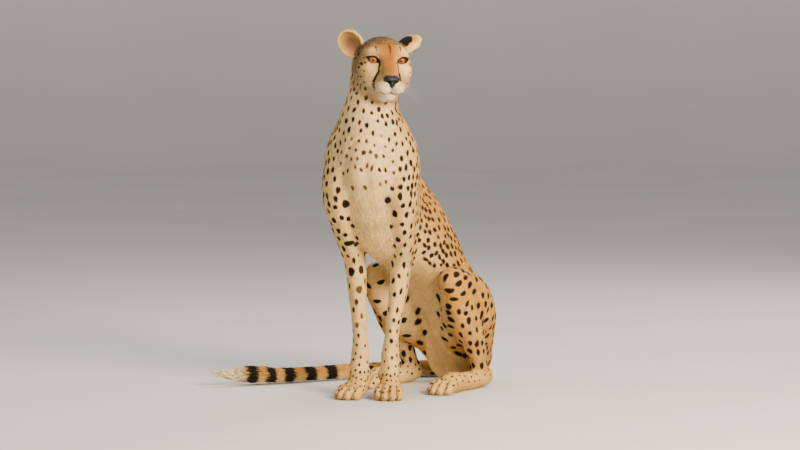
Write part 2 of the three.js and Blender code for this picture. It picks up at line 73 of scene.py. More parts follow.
# x out from the midline, y, z, half depth, half width
FORELEGS = {
    1: [
        [46, 4, 690, 40, 30],
        [70, -8, 648, 58, 42],
        [80, -26, 596, 68, 46],
        [82, -50, 530, 68, 44],
        [76, 0, 440, 58, 37],
        [66, 42, 358, 44, 31],
        [62, 32, 292, 36, 27],
        [53, 14, 220, 27, 22.5],
        [46, 4, 158, 23, 20],
        [43, 0, 112, 26, 25],
        [44, -12, 66, 24, 25],
    ],
    -1: [
        [50, 4, 690, 40, 32],
        [74, -8, 648, 58, 46],
        [84, -26, 596, 68, 46],
        [84, -50, 530, 68, 45],
        [70, 0, 440, 58, 37],
        [57, 42, 358, 44, 31],
        [50, 32, 292, 36, 27],
        [42, 14, 220, 27, 22.5],
        [38, 4, 158, 23, 20],
        [36, 0, 112, 26, 25],
        [39, -10, 66, 24, 25],
    ],
}
FOREPAWS = {
    1: dict(at=(45, -30, -6.5), turn=4, width=27),
    -1: dict(at=(-43, -27, -6.5), turn=-24, width=28),
}
FOREPAW_RISE = 52
PELVIS, PELVIS_TURN = (163, 330), 28
# out from the pelvis, forward, z, half depth, half width
THIGH = [[44, -4, 168, 86, 60], [92, 58, 208, 98, 58], [120, 138, 264, 68, 42], [124, 172, 290, 48, 35]]
SHANK = [[124, 156, 262, 46, 34], [123, 108, 188, 49, 35], [119, 62, 112, 33, 26], [115, 34, 58, 26, 20],
         [114, 20, 32, 24, 19]]
HIND_FOOT = [[114, 6, 30, 25, 19], [115, 55, 24, 26, 21], [117, 120, 24, 26, 25], [119, 168, 28, 27, 31]]
HIND_PAW = dict(out=119, forward=188, drop=-6, turn=6, width=26, rise=26)
TAIL = [
    [198, 405, 62, 38, 36],
    [206, 442, 44, 34, 33],
    [184, 480, 30, 30, 29],
    [116, 492, 24, 26, 25],
    [34, 474, 23, 24, 23],
    [-56, 432, 22, 23, 22],
    [-142, 378, 22, 22, 22],
    [-224, 318, 21, 21, 21],
    [-302, 260, 22, 22, 22],
    [-362, 218, 28, 25, 25],
    [-446, 160, 36, 7, 7],
]
HEAD_AT, HEAD_YAW, HEAD_ROLL = (27, -50, 872), 22, 2.2
EYE_AT, EYE_RADIUS, LID, EYE_TILT, EYE_TURN = (37, -53, 8), 17.5, 2.6, -17, 10
EYE_WIDTH, EYE_HEIGHT = 32, 13.4
NOSE_AT = (0, -117, -45)
MOUTH_INSIDE, MOUTH_AHEAD, MOUTH_REACH = (0, -78, -72), 42, 66
MOUTH_CENTRE, MOUTH_CORNER, MOUTH_BOW = -74, -73, 5
EARS = {
    1: dict(at=(57, 16, 36), lean=55, open=110, pitch=-10),
    -1: dict(at=(-67, 12, 31), lean=-38, open=-26, pitch=0),
}
EAR_WIDE, EAR_THICK, EAR_TALL, EAR_RIM = 33, 19, 41, 4.5
THROAT = (44, -120, 782), (62, 46, 34), 13  # where the neck draws back under the jaw: centre, radii, depth
TAIL_COAT, BRUSH_COAT = 3.5, 3.0  # how far the skin lies under the tail's outline, and the rest at its brush
BRUSH_FROM, BRUSH_OVER = 0.78, 0.12  # shares of the way along the tail
THUMB = (25, 20, 60), (9, 11, 14)  # pads of a foreleg: inward, back and up from the paw, and radii
HEEL = (0, 36, 84), (12, 11, 14)
ELBOWS = {1: (68, 84, 352), -1: (-59, 84, 352)}
ELBOW_RADII = (15, 19, 26)
THUMB_JOIN, FOOT_JOIN, HEEL_JOIN, ELBOW_JOIN, HOCK_JOIN, KNEE_JOIN = 8, 16, 8, 20, 12, 9
FAR = 90.0  # what a field answers where the point is nowhere near it
NECK_LOW, HEAD_LOW = 700, 740  # no part of the head is below these heights
PAW_REACH, EAR_REACH = 110, 90  # no part of a paw or an ear is farther than this from its own origin
SIDES = ((1, "left"), (-1, "right"))

# ---------------- frames and simple fields


def about(axis, degrees):
    """The matrix of a turn about an axis."""
    a = math.radians(degrees)
    c, s = math.cos(a), math.sin(a)
    rows = {
        "x": [[1, 0, 0], [0, c, -s], [0, s, c]],
        "y": [[c, 0, s], [0, 1, 0], [-s, 0, c]],
        "z": [[c, -s, 0], [s, c, 0], [0, 0, 1]],
    }
    return np.array(rows[axis])


HEAD_TURN = about("z", HEAD_YAW) @ about("y", HEAD_ROLL)
EAR_TURNS = {
    side: about("y", ear["lean"]) @ about("x", ear["pitch"]) @ about("z", ear["open"])
    for side, ear in EARS.items()
}
PELVIS_LEFT = about("z", -PELVIS_TURN)[:, 0]
PELVIS_AHEAD = np.array([PELVIS_LEFT[1], -PELVIS_LEFT[0], 0])


def to_head(p):
    return ((p - HEAD_AT) @ HEAD_TURN).astype(np.float32)


def from_head(q):
    return np.asarray(q, float) @ HEAD_TURN.T + HEAD_AT


# The modelling frame's origin, in the part's frame and in millimetres.
low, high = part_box("eye_left")
SHIFT = np.array((low + high) / 2) * 1000 - from_head(EYE_AT)


def smooth_min(a, b, width):
    near = np.maximum(width - np.abs(a - b), 0) / width
    return np.minimum(a, b) - near * near * width / 4


def smooth_max(a, b, width):
    return -smooth_min(-a, -b, width)


def union(width, *fields):
    """The smooth union of several fields' values."""
    whole = fields[0]
    for field in fields[1:]:
        whole = smooth_min(whole, field, width)
    return whole


def blob(p, centre, radii):
    """The distance to an ellipsoid."""
    radii = np.asarray(radii, np.float32)
    d = (p - np.asarray(centre, np.float32)) / radii
    reach = np.sqrt((d * d).sum(1))
    slope = np.sqrt(((d / radii) ** 2).sum(1))
    return reach * (reach - 1) / np.maximum(slope, 1e-6)


def swell(p, centre, radii, amount):
    """A soft rise of so much about a centre."""
    d = (p - np.asarray(centre, np.float32)) / np.asarray(radii, np.float32)
    return amount * np.exp(-(d * d).sum(1))


def ridge(p, start, end, width, amount):
    """A soft ridge of so much along a straight line. A groove has a negative amount."""
    start = np.asarray(start, np.float32)
    step = np.asarray(end, np.float32) - start
    q = p - start
    q = q - np.clip(q @ step / (step @ step), 0, 1)[:, None] * step
    return amount * np.exp(-(q * q).sum(1) / width**2)


def mirrored(p):
    """The points, with those of the right side moved to the left one."""
    return np.concatenate([np.abs(p[:, :1]), p[:, 1:]], 1)


def pair(p, centre, radii):
    """Two like ellipsoids, one each side of the middle plane."""
    return blob(mirrored(p), centre, radii)


def hump(x, at, width):
    """1 where x is at a value, fading to 0 over the width on either side."""
    return np.exp(-(((x - at) / width) ** 2))


def catmull(rows, steps):
    """A smooth run of rows through the given ones, so many steps to an interval."""
    rows = np.asarray(rows, float)
    padded = np.vstack([2 * rows[0] - rows[1], rows, 2 * rows[-1] - rows[-2]])
    run = []
    for a, b, c, d in zip(padded, padded[1:], padded[2:], padded[3:]):
        for t in np.arange(steps) / steps:
            bend, twist = 2 * a - 5 * b + 4 * c - d, 3 * b - a - 3 * c + d
            run.append(0.5 * (2 * b + (c - a) * t + bend * t**2 + twist * t**3))
    return np.array(run + [rows[-1]])


class Limb:
    """Oval sections along a curve.

    Rows are x, y, z, half depth, half width and the turn of the width's axis.
    """

    def __init__(self, rows, steps=3):
        rows = [list(row) + [0] * (6 - len(row)) for row in rows]
        run = catmull(rows, steps).astype(np.float32)
        self.at, self.deep, self.wide = run[:, :3], run[:, 3], run[:, 4]
        turn = np.radians(run[:, 5])
        self.side = np.stack([np.cos(turn), -np.sin(turn), 0 * turn], 1)
        widest = max(self.deep.max(), self.wide.max())
        self.low, self.high = self.at.min(0) - widest, self.at.max(0) + widest
        self.along = np.append(0, np.cumsum(np.linalg.norm(np.diff(self.at, axis=0), axis=1)))

    def locate(self, p):
        """The distance of each point, and its place along the curve, in sections."""
        best = np.full(len(p), 1e6, np.float32)
        place = np.zeros(len(p), np.float32)
        for i in range(len(self.at) - 1):
            step = self.at[i + 1] - self.at[i]
            q = p - self.at[i]
            t = np.clip(q @ step / (step @ step), 0, 1)
            q -= t[:, None] * step
            across = q @ self.side[i]
            rest = np.maximum((q * q).sum(1) - across * across, 0)
            deep = self.deep[i] + t * (self.deep[i + 1] - self.deep[i])
            wide = self.wide[i] + t * (self.wide[i + 1] - self.wide[i])
            d = (np.sqrt((across / wide) ** 2 + rest / deep**2) - 1) * np.minimum(deep, wide)
            nearer = d < best
            best[nearer] = d[nearer]
            place[nearer] = i + t[nearer]
        return best, place

    def __call__(self, p):
        return self.locate(p)[0]

    def section(self, place):
        """The number of the section that each place along the curve is in."""
        return np.clip(place.astype(int), 0, len(self.at) - 2)

    def axis(self, place):
        """The curve's direction at places along it."""
        steps = np.diff(self.at, axis=0)
        steps /= np.linalg.norm(steps, axis=1, keepdims=True)
        i = np.clip(place - 0.5, 0, len(steps) - 1.001)
        whole = i.astype(int)
        share = (i - whole)[:, None]
        return steps[whole] * (1 - share) + steps[np.minimum(whole + 1, len(steps) - 1)] * share


def culled(p, low, high, make):
    """The values that make gives for the points in a box, and FAR for the rest."""
    values = np.full(len(p), FAR, np.float32)
    near = ((p > low) & (p < high)).all(1)
    if near.any():
        values[near] = make(p[near])
    return values


# ---------------- the body


def hind_rows(rows, side):
    """Rows given from the pelvis, as rows in the body's frame."""
    placed = []
    for out, forward, z, deep, wide in rows:
        x, y, _ = np.array([*PELVIS, 0]) + PELVIS_LEFT * side * out + PELVIS_AHEAD * forward
        placed.append([x, y, z, deep, wide, PELVIS_TURN])
    return placed


TOE_PLACES = (-1, -0.36, 0.36, 1)  # across the paw, as shares of its half width
OUTER_TOE, INNER_TOE, TOE_HEIGHT = -50, -63, 13.5  # y of the toes' tips, and their height
TOE_GROOVE = 4.2, 3.4  # width, depth
TOE_PAD, HEEL_PAD = (9.5, 13, 8), ((0, -14, 12), (27, 20, 12))  # radii, and centre with radii
TOE_JOIN, BODY_JOIN, PAD_JOIN = 2, 6, 3


class Paw:
    """A paw in its own frame, toes to -Y, set down where the leg ends."""

    def __init__(self, at, turn, width, rise, fore):
        self.at = np.array(at, np.float32)
        self.turn = about("z", turn).astype(np.float32)
        self.fore = fore
        body = [[0, 26, rise, 27, 25], [0, 6, 14 + rise / 2, 27, width + 2], [0, -18, 27, 23, width + 8]]
        self.body = Limb(body)
        self.toes, self.claws = [], []
        for share in TOE_PLACES:
            x, y, z = share * width, INNER_TOE if abs(share) < 0.5 else OUTER_TOE, TOE_HEIGHT
            knuckle, middle = [x * 0.85, y + 46, 31, 14, 12.5], [x, y + 26, 28.5, 15.5, 12.5]
            self.toes.append(Limb([knuckle, middle, [x, y + 6, z + 4, 14, 11.5]], 3))
            self.claws.append((x, y - 1, z + 1))
        self.low, self.high = self.at - PAW_REACH, self.at + PAW_REACH

    def __call__(self, p):
        q = ((p - self.at) @ self.turn).astype(np.float32)
        toes = self.toes[0](q)
        for toe in self.toes[1:]:
            toes = smooth_min(toes, toe(q), TOE_JOIN)
        whole = smooth_min(self.body(q), toes, BODY_JOIN)
        for (x, y, _), (next_x, next_y, _) in zip(self.claws, self.claws[1:]):
            between, front = (x + next_x) / 2, (y + next_y) / 2
            whole = whole + ridge(q, (between, front + 2, 24), (between * 0.8, front + 46, 44), *TOE_GROOVE)
        pads = union(PAD_JOIN, *(blob(q, (x, y + 12, z - 5), TOE_PAD) for x, y, z in self.claws))
        pads = smooth_min(pads, blob(q, *HEEL_PAD), 4)
        return smooth_min(whole, pads, PAD_JOIN)


# Heights, and how deep the coat lies over the skin there: deepest on the chest and least at the feet.
COAT_DEPTH = [40, 120, 330, 520, 700, 860], [2.0, 2.4, 4.0, 5.5, 5.5, 3.5]
LEG_JOIN = [360, 440, 600, 680], [10, 16, 30, 40]  # heights, and how softly the foreleg joins the trunk there

# Rises and hollows of the forequarters, each on both sides: centre, radii, how much.
FORE_SWELLS = [
    [(31, -134, 572), (24, 26, 62), 4.0],  # breast muscle
    [(76, -104, 548), (26, 24, 34), 3.5],  # point of the shoulder
    [(96, 8, 470), (26, 46, 62), 4.5],  # the long muscle behind the upper arm
    [(100, -10, 610), (20, 34, 62), 3.0],  # shoulder blade
    [(44, 40, 676), (26, 26, 44), 5.0],  # top of the shoulder blade
    [(104, 66, 520), (26, 20, 70), -5.0],  # hollow behind the shoulder
    [(62, 26, 384), (40, 24, 22), 3.0],  # bulge of the forearm below the elbow
    [(50, -14, 300), (30, 20, 60), 2.0],  # front of the forearm
]
# Grooves and ridges there: from, to, width, how much.
FORE_LINES = [
    [(0, -150, 636), (0, -142, 470), 11, -5.0],  # furrow down the breast
    [(38, -124, 654), (70, -112, 566), 13, -3.5],  # between the breast and the shoulder
    [(40, -40, 742), (66, -96, 640), 16, -3.0],  # between the neck and the shoulder
    [(104, -66, 560), (104, 14, 404), 13, -2.5],  # between the upper arm and its long muscle
    [(34, -84, 450), (38, -22, 352), 10, -7.0],  # between the leg and the brisket
    [(78, -48, 452), (84, 10, 400), 14, 2.0],  # crest of the upper arm
]
# The same for the hindquarters, out from the pelvis, forward and up.
HIND_SWELLS = [
    [(62, -16, 262), (30, 34, 34), 4.0],  # hip
    [(138, 60, 214), (30, 56, 52), 4.0],  # thigh
    [(126, 178, 282), (26, 24, 28), 4.0],  # knee
    [(106, 112, 300), (28, 34, 40), -6.0],  # hollow of the flank
    [(140, 96, 170), (24, 34, 40), 2.5],  # calf
]
HIND_LINES = [
    [(132, -6, 250), (152, 96, 166), 14, -3.5],  # between the thigh's front and back muscles
    [(96, 150, 326), (124, 206, 262), 13, -4.0],  # fold from the flank to the knee
    [(132, 36, 96), (134, 52, 60), 8, -3.0],  # between the heel's tendon and the shin
]
RIB_SPAN, RIB_RISE = 27, 0.9
RIB_PLACES, RIB_RADII = [(96, 120, 430), (-40, 130, 430)], (60, 90, 80)
RIB_WAY = (0.1, 0.62, -0.42)  # across the ribs

trunk = Limb(TRUNK)
tail = Limb(TAIL)
forelegs = {side: Limb([[side * row[0], *row[1:]] for row in rows]) for side, rows in FORELEGS.items()}
forepaws = {side: Paw(rise=FOREPAW_RISE, fore=True, **paw) for side, paw in FOREPAWS.items()}
thighs, shanks, hind_feet = (
    {side: Limb(hind_rows(rows, side)) for side, _ in SIDES} for rows in (THIGH, SHANK, HIND_FOOT)
)
hind_paws = {}
for side, _ in SIDES:
    x, y = hind_rows([[HIND_PAW["out"], HIND_PAW["forward"], 0, 1, 1]], side)[0][:2]
    turn = side * HIND_PAW["turn"] - PELVIS_TURN
    hind_paws[side] = Paw((x, y, HIND_PAW["drop"]), turn, HIND_PAW["width"], HIND_PAW["rise"], False)


def foreleg_field(p, side):
    paw = forepaws[side]
    x, y, _ = FOREPAWS[side]["at"]
    (inward, back, up), radii = THUMB
    thumb = blob(p, (x - side * inward, y + back, up), radii)
    (_, back, up), radii = HEEL
    heel = blob(p, (x, y + back, up), radii)
    foot = smooth_min(culled(p, paw.low, paw.high, paw), thumb, THUMB_JOIN)
    whole = smooth_min(smooth_min(forelegs[side](p), foot, FOOT_JOIN), heel, HEEL_JOIN)
    return smooth_min(whole, blob(p, ELBOWS[side], ELBOW_RADII), ELBOW_JOIN)


def muscles(p):
    """How far muscles, folds and ribs lift the skin at each point."""
    lift = np.zeros(len(p), np.float32)
    fore = np.flatnonzero((p[:, 2] > 220) & (p[:, 1] < 130))
    q = mirrored(p[fore])
    lift[fore] += sum(swell(q, *form) for form in FORE_SWELLS) + sum(ridge(q, *line) for line in FORE_LINES)
    hind = np.flatnonzero((p[:, 2] < 420) & (p[:, 1] > 60))
    out = (p[hind, :2] - PELVIS) @ PELVIS_LEFT[:2]
    forward = (p[hind, :2] - PELVIS) @ PELVIS_AHEAD[:2]
    q = np.stack([np.abs(out), forward, p[hind, 2]], 1).astype(np.float32)
    lift[hind] += sum(swell(q, *form) for form in HIND_SWELLS) + sum(ridge(q, *line) for line in HIND_LINES)
    ribs = sum(swell(p, centre, RIB_RADII, 1) for centre in RIB_PLACES)
    across = p @ np.array(RIB_WAY, np.float32)
    return lift + RIB_RISE * ribs * np.cos(across * (2 * math.pi / RIB_SPAN))


def hindleg_field(p, side):
    """The thigh and all below it. The thigh also joins the trunk by itself, more softly."""
    paw = hind_paws[side]
    foot = smooth_min(hind_feet[side](p), culled(p, paw.low, paw.high, paw), HOCK_JOIN)
    return smooth_min(thighs[side](p), smooth_min(shanks[side](p), foot, HOCK_JOIN), KNEE_JOIN)


def tail_field(p):
    d, place = tail.locate(p)
    brush = np.clip((place / (len(tail.at) - 1) - BRUSH_FROM) / BRUSH_OVER, 0, 1)
    return d + TAIL_COAT + BRUSH_COAT * brush


# ---------------- the head

# The head's forms in its own frame, which looks to -Y: centre and radii. Those beside the middle are pairs.
CRANIUM = (0, 0, 4), (68, 73, 66)
FOREHEAD = (0, -44, 16), (46, 32, 36)
BROW = (31, -43, 23), (25, 24, 17)
CHEEKBONE = (38, -34, -19), (34, 42, 33)
JAW_SIDE = (33, -10, -48), (33, 50, 30)
SNOUT = (0, -84, -52), (27, 36, 32)
PUFF = (17, -102, -61), (20, 26, 18.5)
SOCKET = (41, -94, 5), (20, 27, 15)  # the hollow in front of the eye
SKULL_JOIN, MUZZLE_JOIN, BRIDGE_JOIN, FACE_JOIN, SOCKET_JOIN, NOSE_JOIN, LID_JOIN = 22, 7, 14, 24, 9, 8, 5
# The nose's forms, from its own place.
NOSE_WING = (9.5, 0, 6), (11.5, 12, 9)
NOSE_TIP = (0, -1, -6), (8, 11, 10)
NOSE_MIDDLE = (0, -0.5, 6.5), (13, 11.5, 8)
UPPER_LID, LOWER_LID = (0.51, -0.22), (-0.46, 0.08)  # share of the opening's height, and slant outwards

bridge = Limb([[0, -50, 6, 30, 31], [0, -80, -14, 25, 23], [0, -108, -36, 18, 19]], 6)
jaw = Limb([[0, -92, -79, 14.5, 20], [0, -60, -74, 25, 32], [0, -10, -66, 30, 44]], 12)


def plain_head(q):
    """The head without lids, mouth or nose."""
    middle = [blob(q, *CRANIUM), blob(q, *FOREHEAD)]
    skull = union(SKULL_JOIN, *middle, pair(q, *BROW), pair(q, *CHEEKBONE), pair(q, *JAW_SIDE))
    muzzle = union(MUZZLE_JOIN, blob(q, *SNOUT), pair(q, *PUFF), jaw(q))
    whole = smooth_min(skull, smooth_min(bridge(q), muzzle, BRIDGE_JOIN), FACE_JOIN)
    return smooth_max(whole, -pair(q, *SOCKET), SOCKET_JOIN)


def nose_field(q):
    wing, tip, middle = (
        (np.array(NOSE_AT) + place, radii) for place, radii in (NOSE_WING, NOSE_TIP, NOSE_MIDDLE)
    )
    return union(NOSE_JOIN, pair(q, *wing), blob(q, *tip), blob(q, *middle))


def eye_frame(q, side):
    """Points as the eye sees them: out to the side, ahead and up, from the middle of the ball."""
    facing = about("z", EYE_TURN) @ about("y", EYE_TILT)
    e = (q * np.array([side, 1, 1], np.float32) - np.array(EYE_AT, np.float32)) @ facing.astype(np.float32)
    return e[:, 0], -e[:, 1], e[:, 2]


def opening(out, up):
    """The distance to the outline between the lids, in the plane that the eye looks across."""
    s = out / (EYE_WIDTH / 2)
    arch = np.maximum(1 - s * s, -1.5)
    top, bottom = (height * EYE_HEIGHT * arch * (1 + slant * s) for height, slant in (UPPER_LID, LOWER_LID))
    return np.maximum(up - top, bottom - up) * 0.8


def surface_at(field, origin, directions):
    """Where rays from inside a field come out of it."""
    reach = np.zeros(len(directions))
    for _ in range(60):
        reach -= field((origin + directions * reach[:, None]).astype(np.float32)) * 0.8
    return origin + directions * reach[:, None]


def on_muzzle(angles, heights):
    turn = np.radians(angles)
    origin = np.array(MOUTH_INSIDE, float)
    directions = np.stack([np.sin(turn), -np.cos(turn), (heights - origin[2]) / MOUTH_AHEAD], 1)
    directions /= np.linalg.norm(directions, axis=1, keepdims=True)
    return surface_at(plain_head, origin, directions)


share = np.linspace(-1, 1, 33)
dip = MOUTH_BOW * np.sin(np.pi * np.minimum(np.abs(share) * 2, 1))
mouth_line = on_muzzle(share * MOUTH_REACH, MOUTH_CENTRE + (MOUTH_CORNER - MOUTH_CENTRE) * share**2 - dip)
cleft_line = on_muzzle(np.zeros(6), np.linspace(-56, MOUTH_CENTRE, 6))


def to_line(q, line):
    """The distance to a line of points, and the place along it."""
    best = np.full(len(q), 1e6, np.float32)
    place = np.zeros(len(q), np.float32)
    for i in range(len(line) - 1):
        start, step = line[i].astype(np.float32), (line[i + 1] - line[i]).astype(np.float32)
        t = np.clip((q - start) @ step / (step @ step), 0, 1)
        d = np.linalg.norm(q - start - t[:, None] * step, axis=1)
        nearer = d < best
        best[nearer] = d[nearer]
        place[nearer] = (i + t[nearer]) / (len(line) - 1)
    return best, place


def ear_points(q, side):
    """Points in an ear's own frame: across, through and up from its root."""
    return (q - np.array(EARS[side]["at"])) @ EAR_TURNS[side]


def ear_outside(e):
    """The distance to an ear's outer form, in the ear's own frame."""
    return blob(e, (0, 0, 0.5 * EAR_TALL), (EAR_WIDE - 1, EAR_THICK - 1, EAR_TALL - 1))


def ear_field(q, side, fat):
    e = ear_points(q, side).astype(np.float32)
    radii = (EAR_WIDE - EAR_RIM, EAR_THICK - EAR_RIM * 0.6, EAR_TALL - EAR_RIM * 1.2)
    inside = blob(e, (0, -EAR_THICK * 0.62, 0.5 * EAR_TALL + 2), radii)
    return smooth_max(ear_outside(e), -(inside + fat), 2.5) - fat * 0.3


def ramp(x, start, end):
    """Rises smoothly from 0 at start to 1 at end."""
    t = np.clip((x - start) / (end - start), 0, 1)
    return t * t * (3 - 2 * t)


EYE_BED, NOSE_BED = 9.0, 6.0  # how far the skin sinks behind the eye and the nose
# Fine ridges and grooves of the face: how much, how far from the line or outline that they follow, width.
LID_RIM = 0.9, 2.0, 1.4
LID_FOLD = 0.8, 3.2, 1.0
MOUTH_GROOVE = 3.4, 0, 1.7
LIPS = 0.9, 4.4, 2.2
CLEFT = 2.2, 0, 1.5


def face_detail(q, whole):
    """Lids, mouth, lips, and the beds of the eyes and nose, worked into the plain head."""

    def fine(distance, form):
        amount, at, width = form
        return amount * hump(distance, at, width)

    for side, _ in SIDES:
        out, ahead, up = eye_frame(q, side)
        r = np.sqrt(out * out + ahead * ahead + up * up)
        lids = np.maximum(r - EYE_RADIUS - LID, -ahead)
        whole = smooth_min(whole, lids, LID_JOIN)
        rim = opening(out, up)
        whole = whole - np.where(ahead > 0, fine(rim, LID_RIM), 0)
        fold = opening(out * 0.86, (up - 2) * 0.74)
        whole = whole + np.where((ahead > 0) & (up > 0), fine(fold, LID_FOLD), 0)
        whole = whole + np.where(ahead > 0, EYE_BED * ramp(rim, 0.7, -0.9), 0)
    groove, place = to_line(q, mouth_line)
    fade = ramp(np.abs(place - 0.5) * 2, 1.04, 0.86)
    whole = whole + fade * (fine(groove, MOUTH_GROOVE) - fine(groove, LIPS))
    cleft, _ = to_line(q, cleft_line)
    whole = whole + fine(cleft, CLEFT)
    return whole + NOSE_BED * ramp(nose_field(q), 0.6, -1.6)


# Rises and hollows of the head, each on both sides: centre, radii, how much.
FACE_SWELLS = [
    [(36, -64, 30), (17, 14, 8), 2.4],  # brow over the eye
    [(0, -78, 34), (11, 20, 26), -1.8],  # dip between the brows
    [(46, -66, -20), (14, 20, 14), 1.8],  # cheekbone
    [(21, -108, -60), (13, 14, 12), 1.6],  # whisker pad
    [(30, -84, -40), (9, 16, 16), -2.6],  # hollow beside the muzzle
    [(66, -24, -52), (20, 30, 26), 3.0],  # cheek
    [(72, 6, 2), (14, 30, 22), -2.5],  # temple, in front of the ear
]
FACE_LINES = [
    [(25, -72, 0), (27, -84, -34), 6.5, -1.6],  # where the tear line runs
    [(0, -106, -87), (0, -84, -94), 9, 1.0],  # chin
]
EAR_JOIN = 5
FACE_COAT = [-110, -40, 30], [0.8, 1.6, 3.0]  # places from front to back, and how deep the coat lies there


def head_field(p, fat=0.0):
    q = to_head(p)
    whole = plain_head(q) + np.interp(q[:, 1], *FACE_COAT).astype(np.float32)
    if fat == 0:
        near = (q[:, 1] < -20) & (q[:, 2] > -110) & (q[:, 2] < 45)
        whole[near] = face_detail(q[near], whole[near])
    m = mirrored(q)
    whole = whole - sum(swell(m, *form) for form in FACE_SWELLS) - sum(ridge(m, *line) for line in FACE_LINES)
    for side, _ in SIDES:
        at = np.array(EARS[side]["at"])
        ear = culled(q, at - EAR_REACH, at + EAR_REACH, lambda near: ear_field(near, side, fat))
        whole = smooth_min(whole, ear, EAR_JOIN)
    return whole


# ---------------- the whole skin

THIGH_JOIN, LEG_LOW_JOIN, TAIL_JOIN, NECK_JOIN, FLOOR_JOIN = 36, 6, 26, 9, 2  # how softly these join
LIMB_MARGIN = 60  # a limb changes nothing farther than this from its own box
LOW_COAT = 2  # the coat's depth near the floor, which the tail's field has of its own


def skin_field(p, fat=0.0):
    """The skin over the whole animal. Fat thickens the ears for the first coarse mesh."""
    p = p.astype(np.float32)
    coat = np.interp(p[:, 2], *COAT_DEPTH).astype(np.float32)
    core = trunk(p) + coat
    whole = core.copy()
    leg_join = np.interp(p[:, 2], *LEG_JOIN).astype(np.float32)

    def join(limbs, make, width):
        """Joins limbs to the trunk. Each point near them keeps the nearest surface so far."""
        low = np.min([limb.low for limb in limbs], 0)
        high = np.max([limb.high for limb in limbs], 0)
        near = ((p > low - LIMB_MARGIN) & (p < high + LIMB_MARGIN)).all(1)
        if near.any():
            here = width[near] if isinstance(width, np.ndarray) else width
            whole[near] = np.minimum(whole[near], smooth_min(core[near], make(p[near]) + coat[near], here))

    for side, _ in SIDES:
        join([forelegs[side], forepaws[side]], lambda q: foreleg_field(q, side), leg_join)
        join([thighs[side]], thighs[side], THIGH_JOIN)
        join([shanks[side], hind_paws[side]], lambda q: hindleg_field(q, side), LEG_LOW_JOIN)
    join([tail], lambda q: tail_field(q) - LOW_COAT, TAIL_JOIN)
    whole = whole - muscles(p)
    near = p[:, 2] > NECK_LOW
    if near.any():
        q = p[near]
        whole[near] = smooth_min(whole[near] + swell(q, *THROAT), head_field(q, fat), NECK_JOIN)
    return smooth_max(whole, -p[:, 2], FLOOR_JOIN)


# ---------------- meshing a field


def sample(field, low, high, cell, block=6):
    """A grid of the field's values. Blocks that the surface doesn't come near keep one coarse value."""
    low = np.asarray(low, float)
    blocks = np.ceil((np.asarray(high) - low) / (cell * block)).astype(int)
    coarse = np.stack(np.meshgrid(*(np.arange(n) for n in blocks), indexing="ij"), -1).reshape(-1, 3)
    rough = field(low + (coarse * block + (block - 1) / 2) * cell)
    values = rough.reshape(blocks)
    for axis in range(3):
        values = np.repeat(values, block, axis)
    margin = (math.sqrt(3) / 2 * block + 1) * cell * 1.5
    inner = np.stack(np.meshgrid(*[np.arange(block)] * 3, indexing="ij"), -1).reshape(-1, 3)
    active = coarse[np.abs(rough) < margin]
    where = (active[:, None] * block + inner).reshape(-1, 3)
    values[tuple(where.T)] = field(low + where * cell)
    return values


def surface_net(values, low, cell):
    """One vertex in each cell that the surface crosses, and a quad across each edge that it crosses."""
    inside = values < 0
    n = np.array(values.shape) - 1
    corners = [(i, j, k) for i in (0, 1) for j in (0, 1) for k in (0, 1)]
    count = sum(inside[i:i + n[0], j:j + n[1], k:k + n[2]].astype(np.int8) for i, j, k in corners)
    cells = np.argwhere((count > 0) & (count < 8))
    index = np.full(n, -1)
    index[tuple(cells.T)] = np.arange(len(cells))
    total = np.zeros((len(cells), 3))
    hits = np.zeros(len(cells))
    for a in corners:
        for axis in range(3):
            if a[axis]:
                continue
            b = list(a)
            b[axis] = 1
            fa = values[tuple((cells + a).T)]
            fb = values[tuple((cells + b).T)]
            crossed = (fa < 0) != (fb < 0)
            t = fa[crossed] / (fa[crossed] - fb[crossed])
            point = np.tile(np.array(a, float), (crossed.sum(), 1))
            point[:, axis] = t
            total[crossed] += point
            hits[crossed] += 1
    points = np.asarray(low) + (cells + total / hits[:, None]) * cell
    faces = []
    for axis in range(3):
        u, v = [(1, 2), (2, 0), (0, 1)][axis]
        ends = [slice(None)] * 3
        ends[axis] = slice(1, None)
        starts = [slice(None)] * 3
        starts[axis] = slice(None, -1)
        edges = np.argwhere(inside[tuple(starts)] != inside[tuple(ends)])
        edges = edges[(edges[:, u] > 0) & (edges[:, v] > 0) & (edges[:, u] < n[u]) & (edges[:, v] < n[v])]
        around = []
        for du, dv in ((-1, -1), (0, -1), (0, 0), (-1, 0)):
            near = edges.copy()
            near[:, u] += du
            near[:, v] += dv
            around.append(index[tuple(near.T)])
        quads = np.stack(around, 1)
        outward = inside[tuple(edges.T)]
        quads[~outward] = quads[~outward][:, ::-1]
        faces.append(quads)
    quads = np.concatenate(faces)
    return points, np.concatenate([quads[:, [0, 1, 2]], quads[:, [0, 2, 3]]])


def edges_of(triangles):
    """The mesh's edges, each once, and for each triangle the numbers of its three edges."""
    pairs = np.sort(np.concatenate([triangles[:, ends] for ends in ([0, 1], [1, 2], [2, 0])]), axis=1)
    edges, number = np.unique(pairs[:, 0].astype(np.int64) << 32 | pairs[:, 1], return_inverse=True)
    edges = np.stack([edges >> 32, edges & 0xFFFFFFFF], 1)
    return edges, number.reshape(3, -1).T


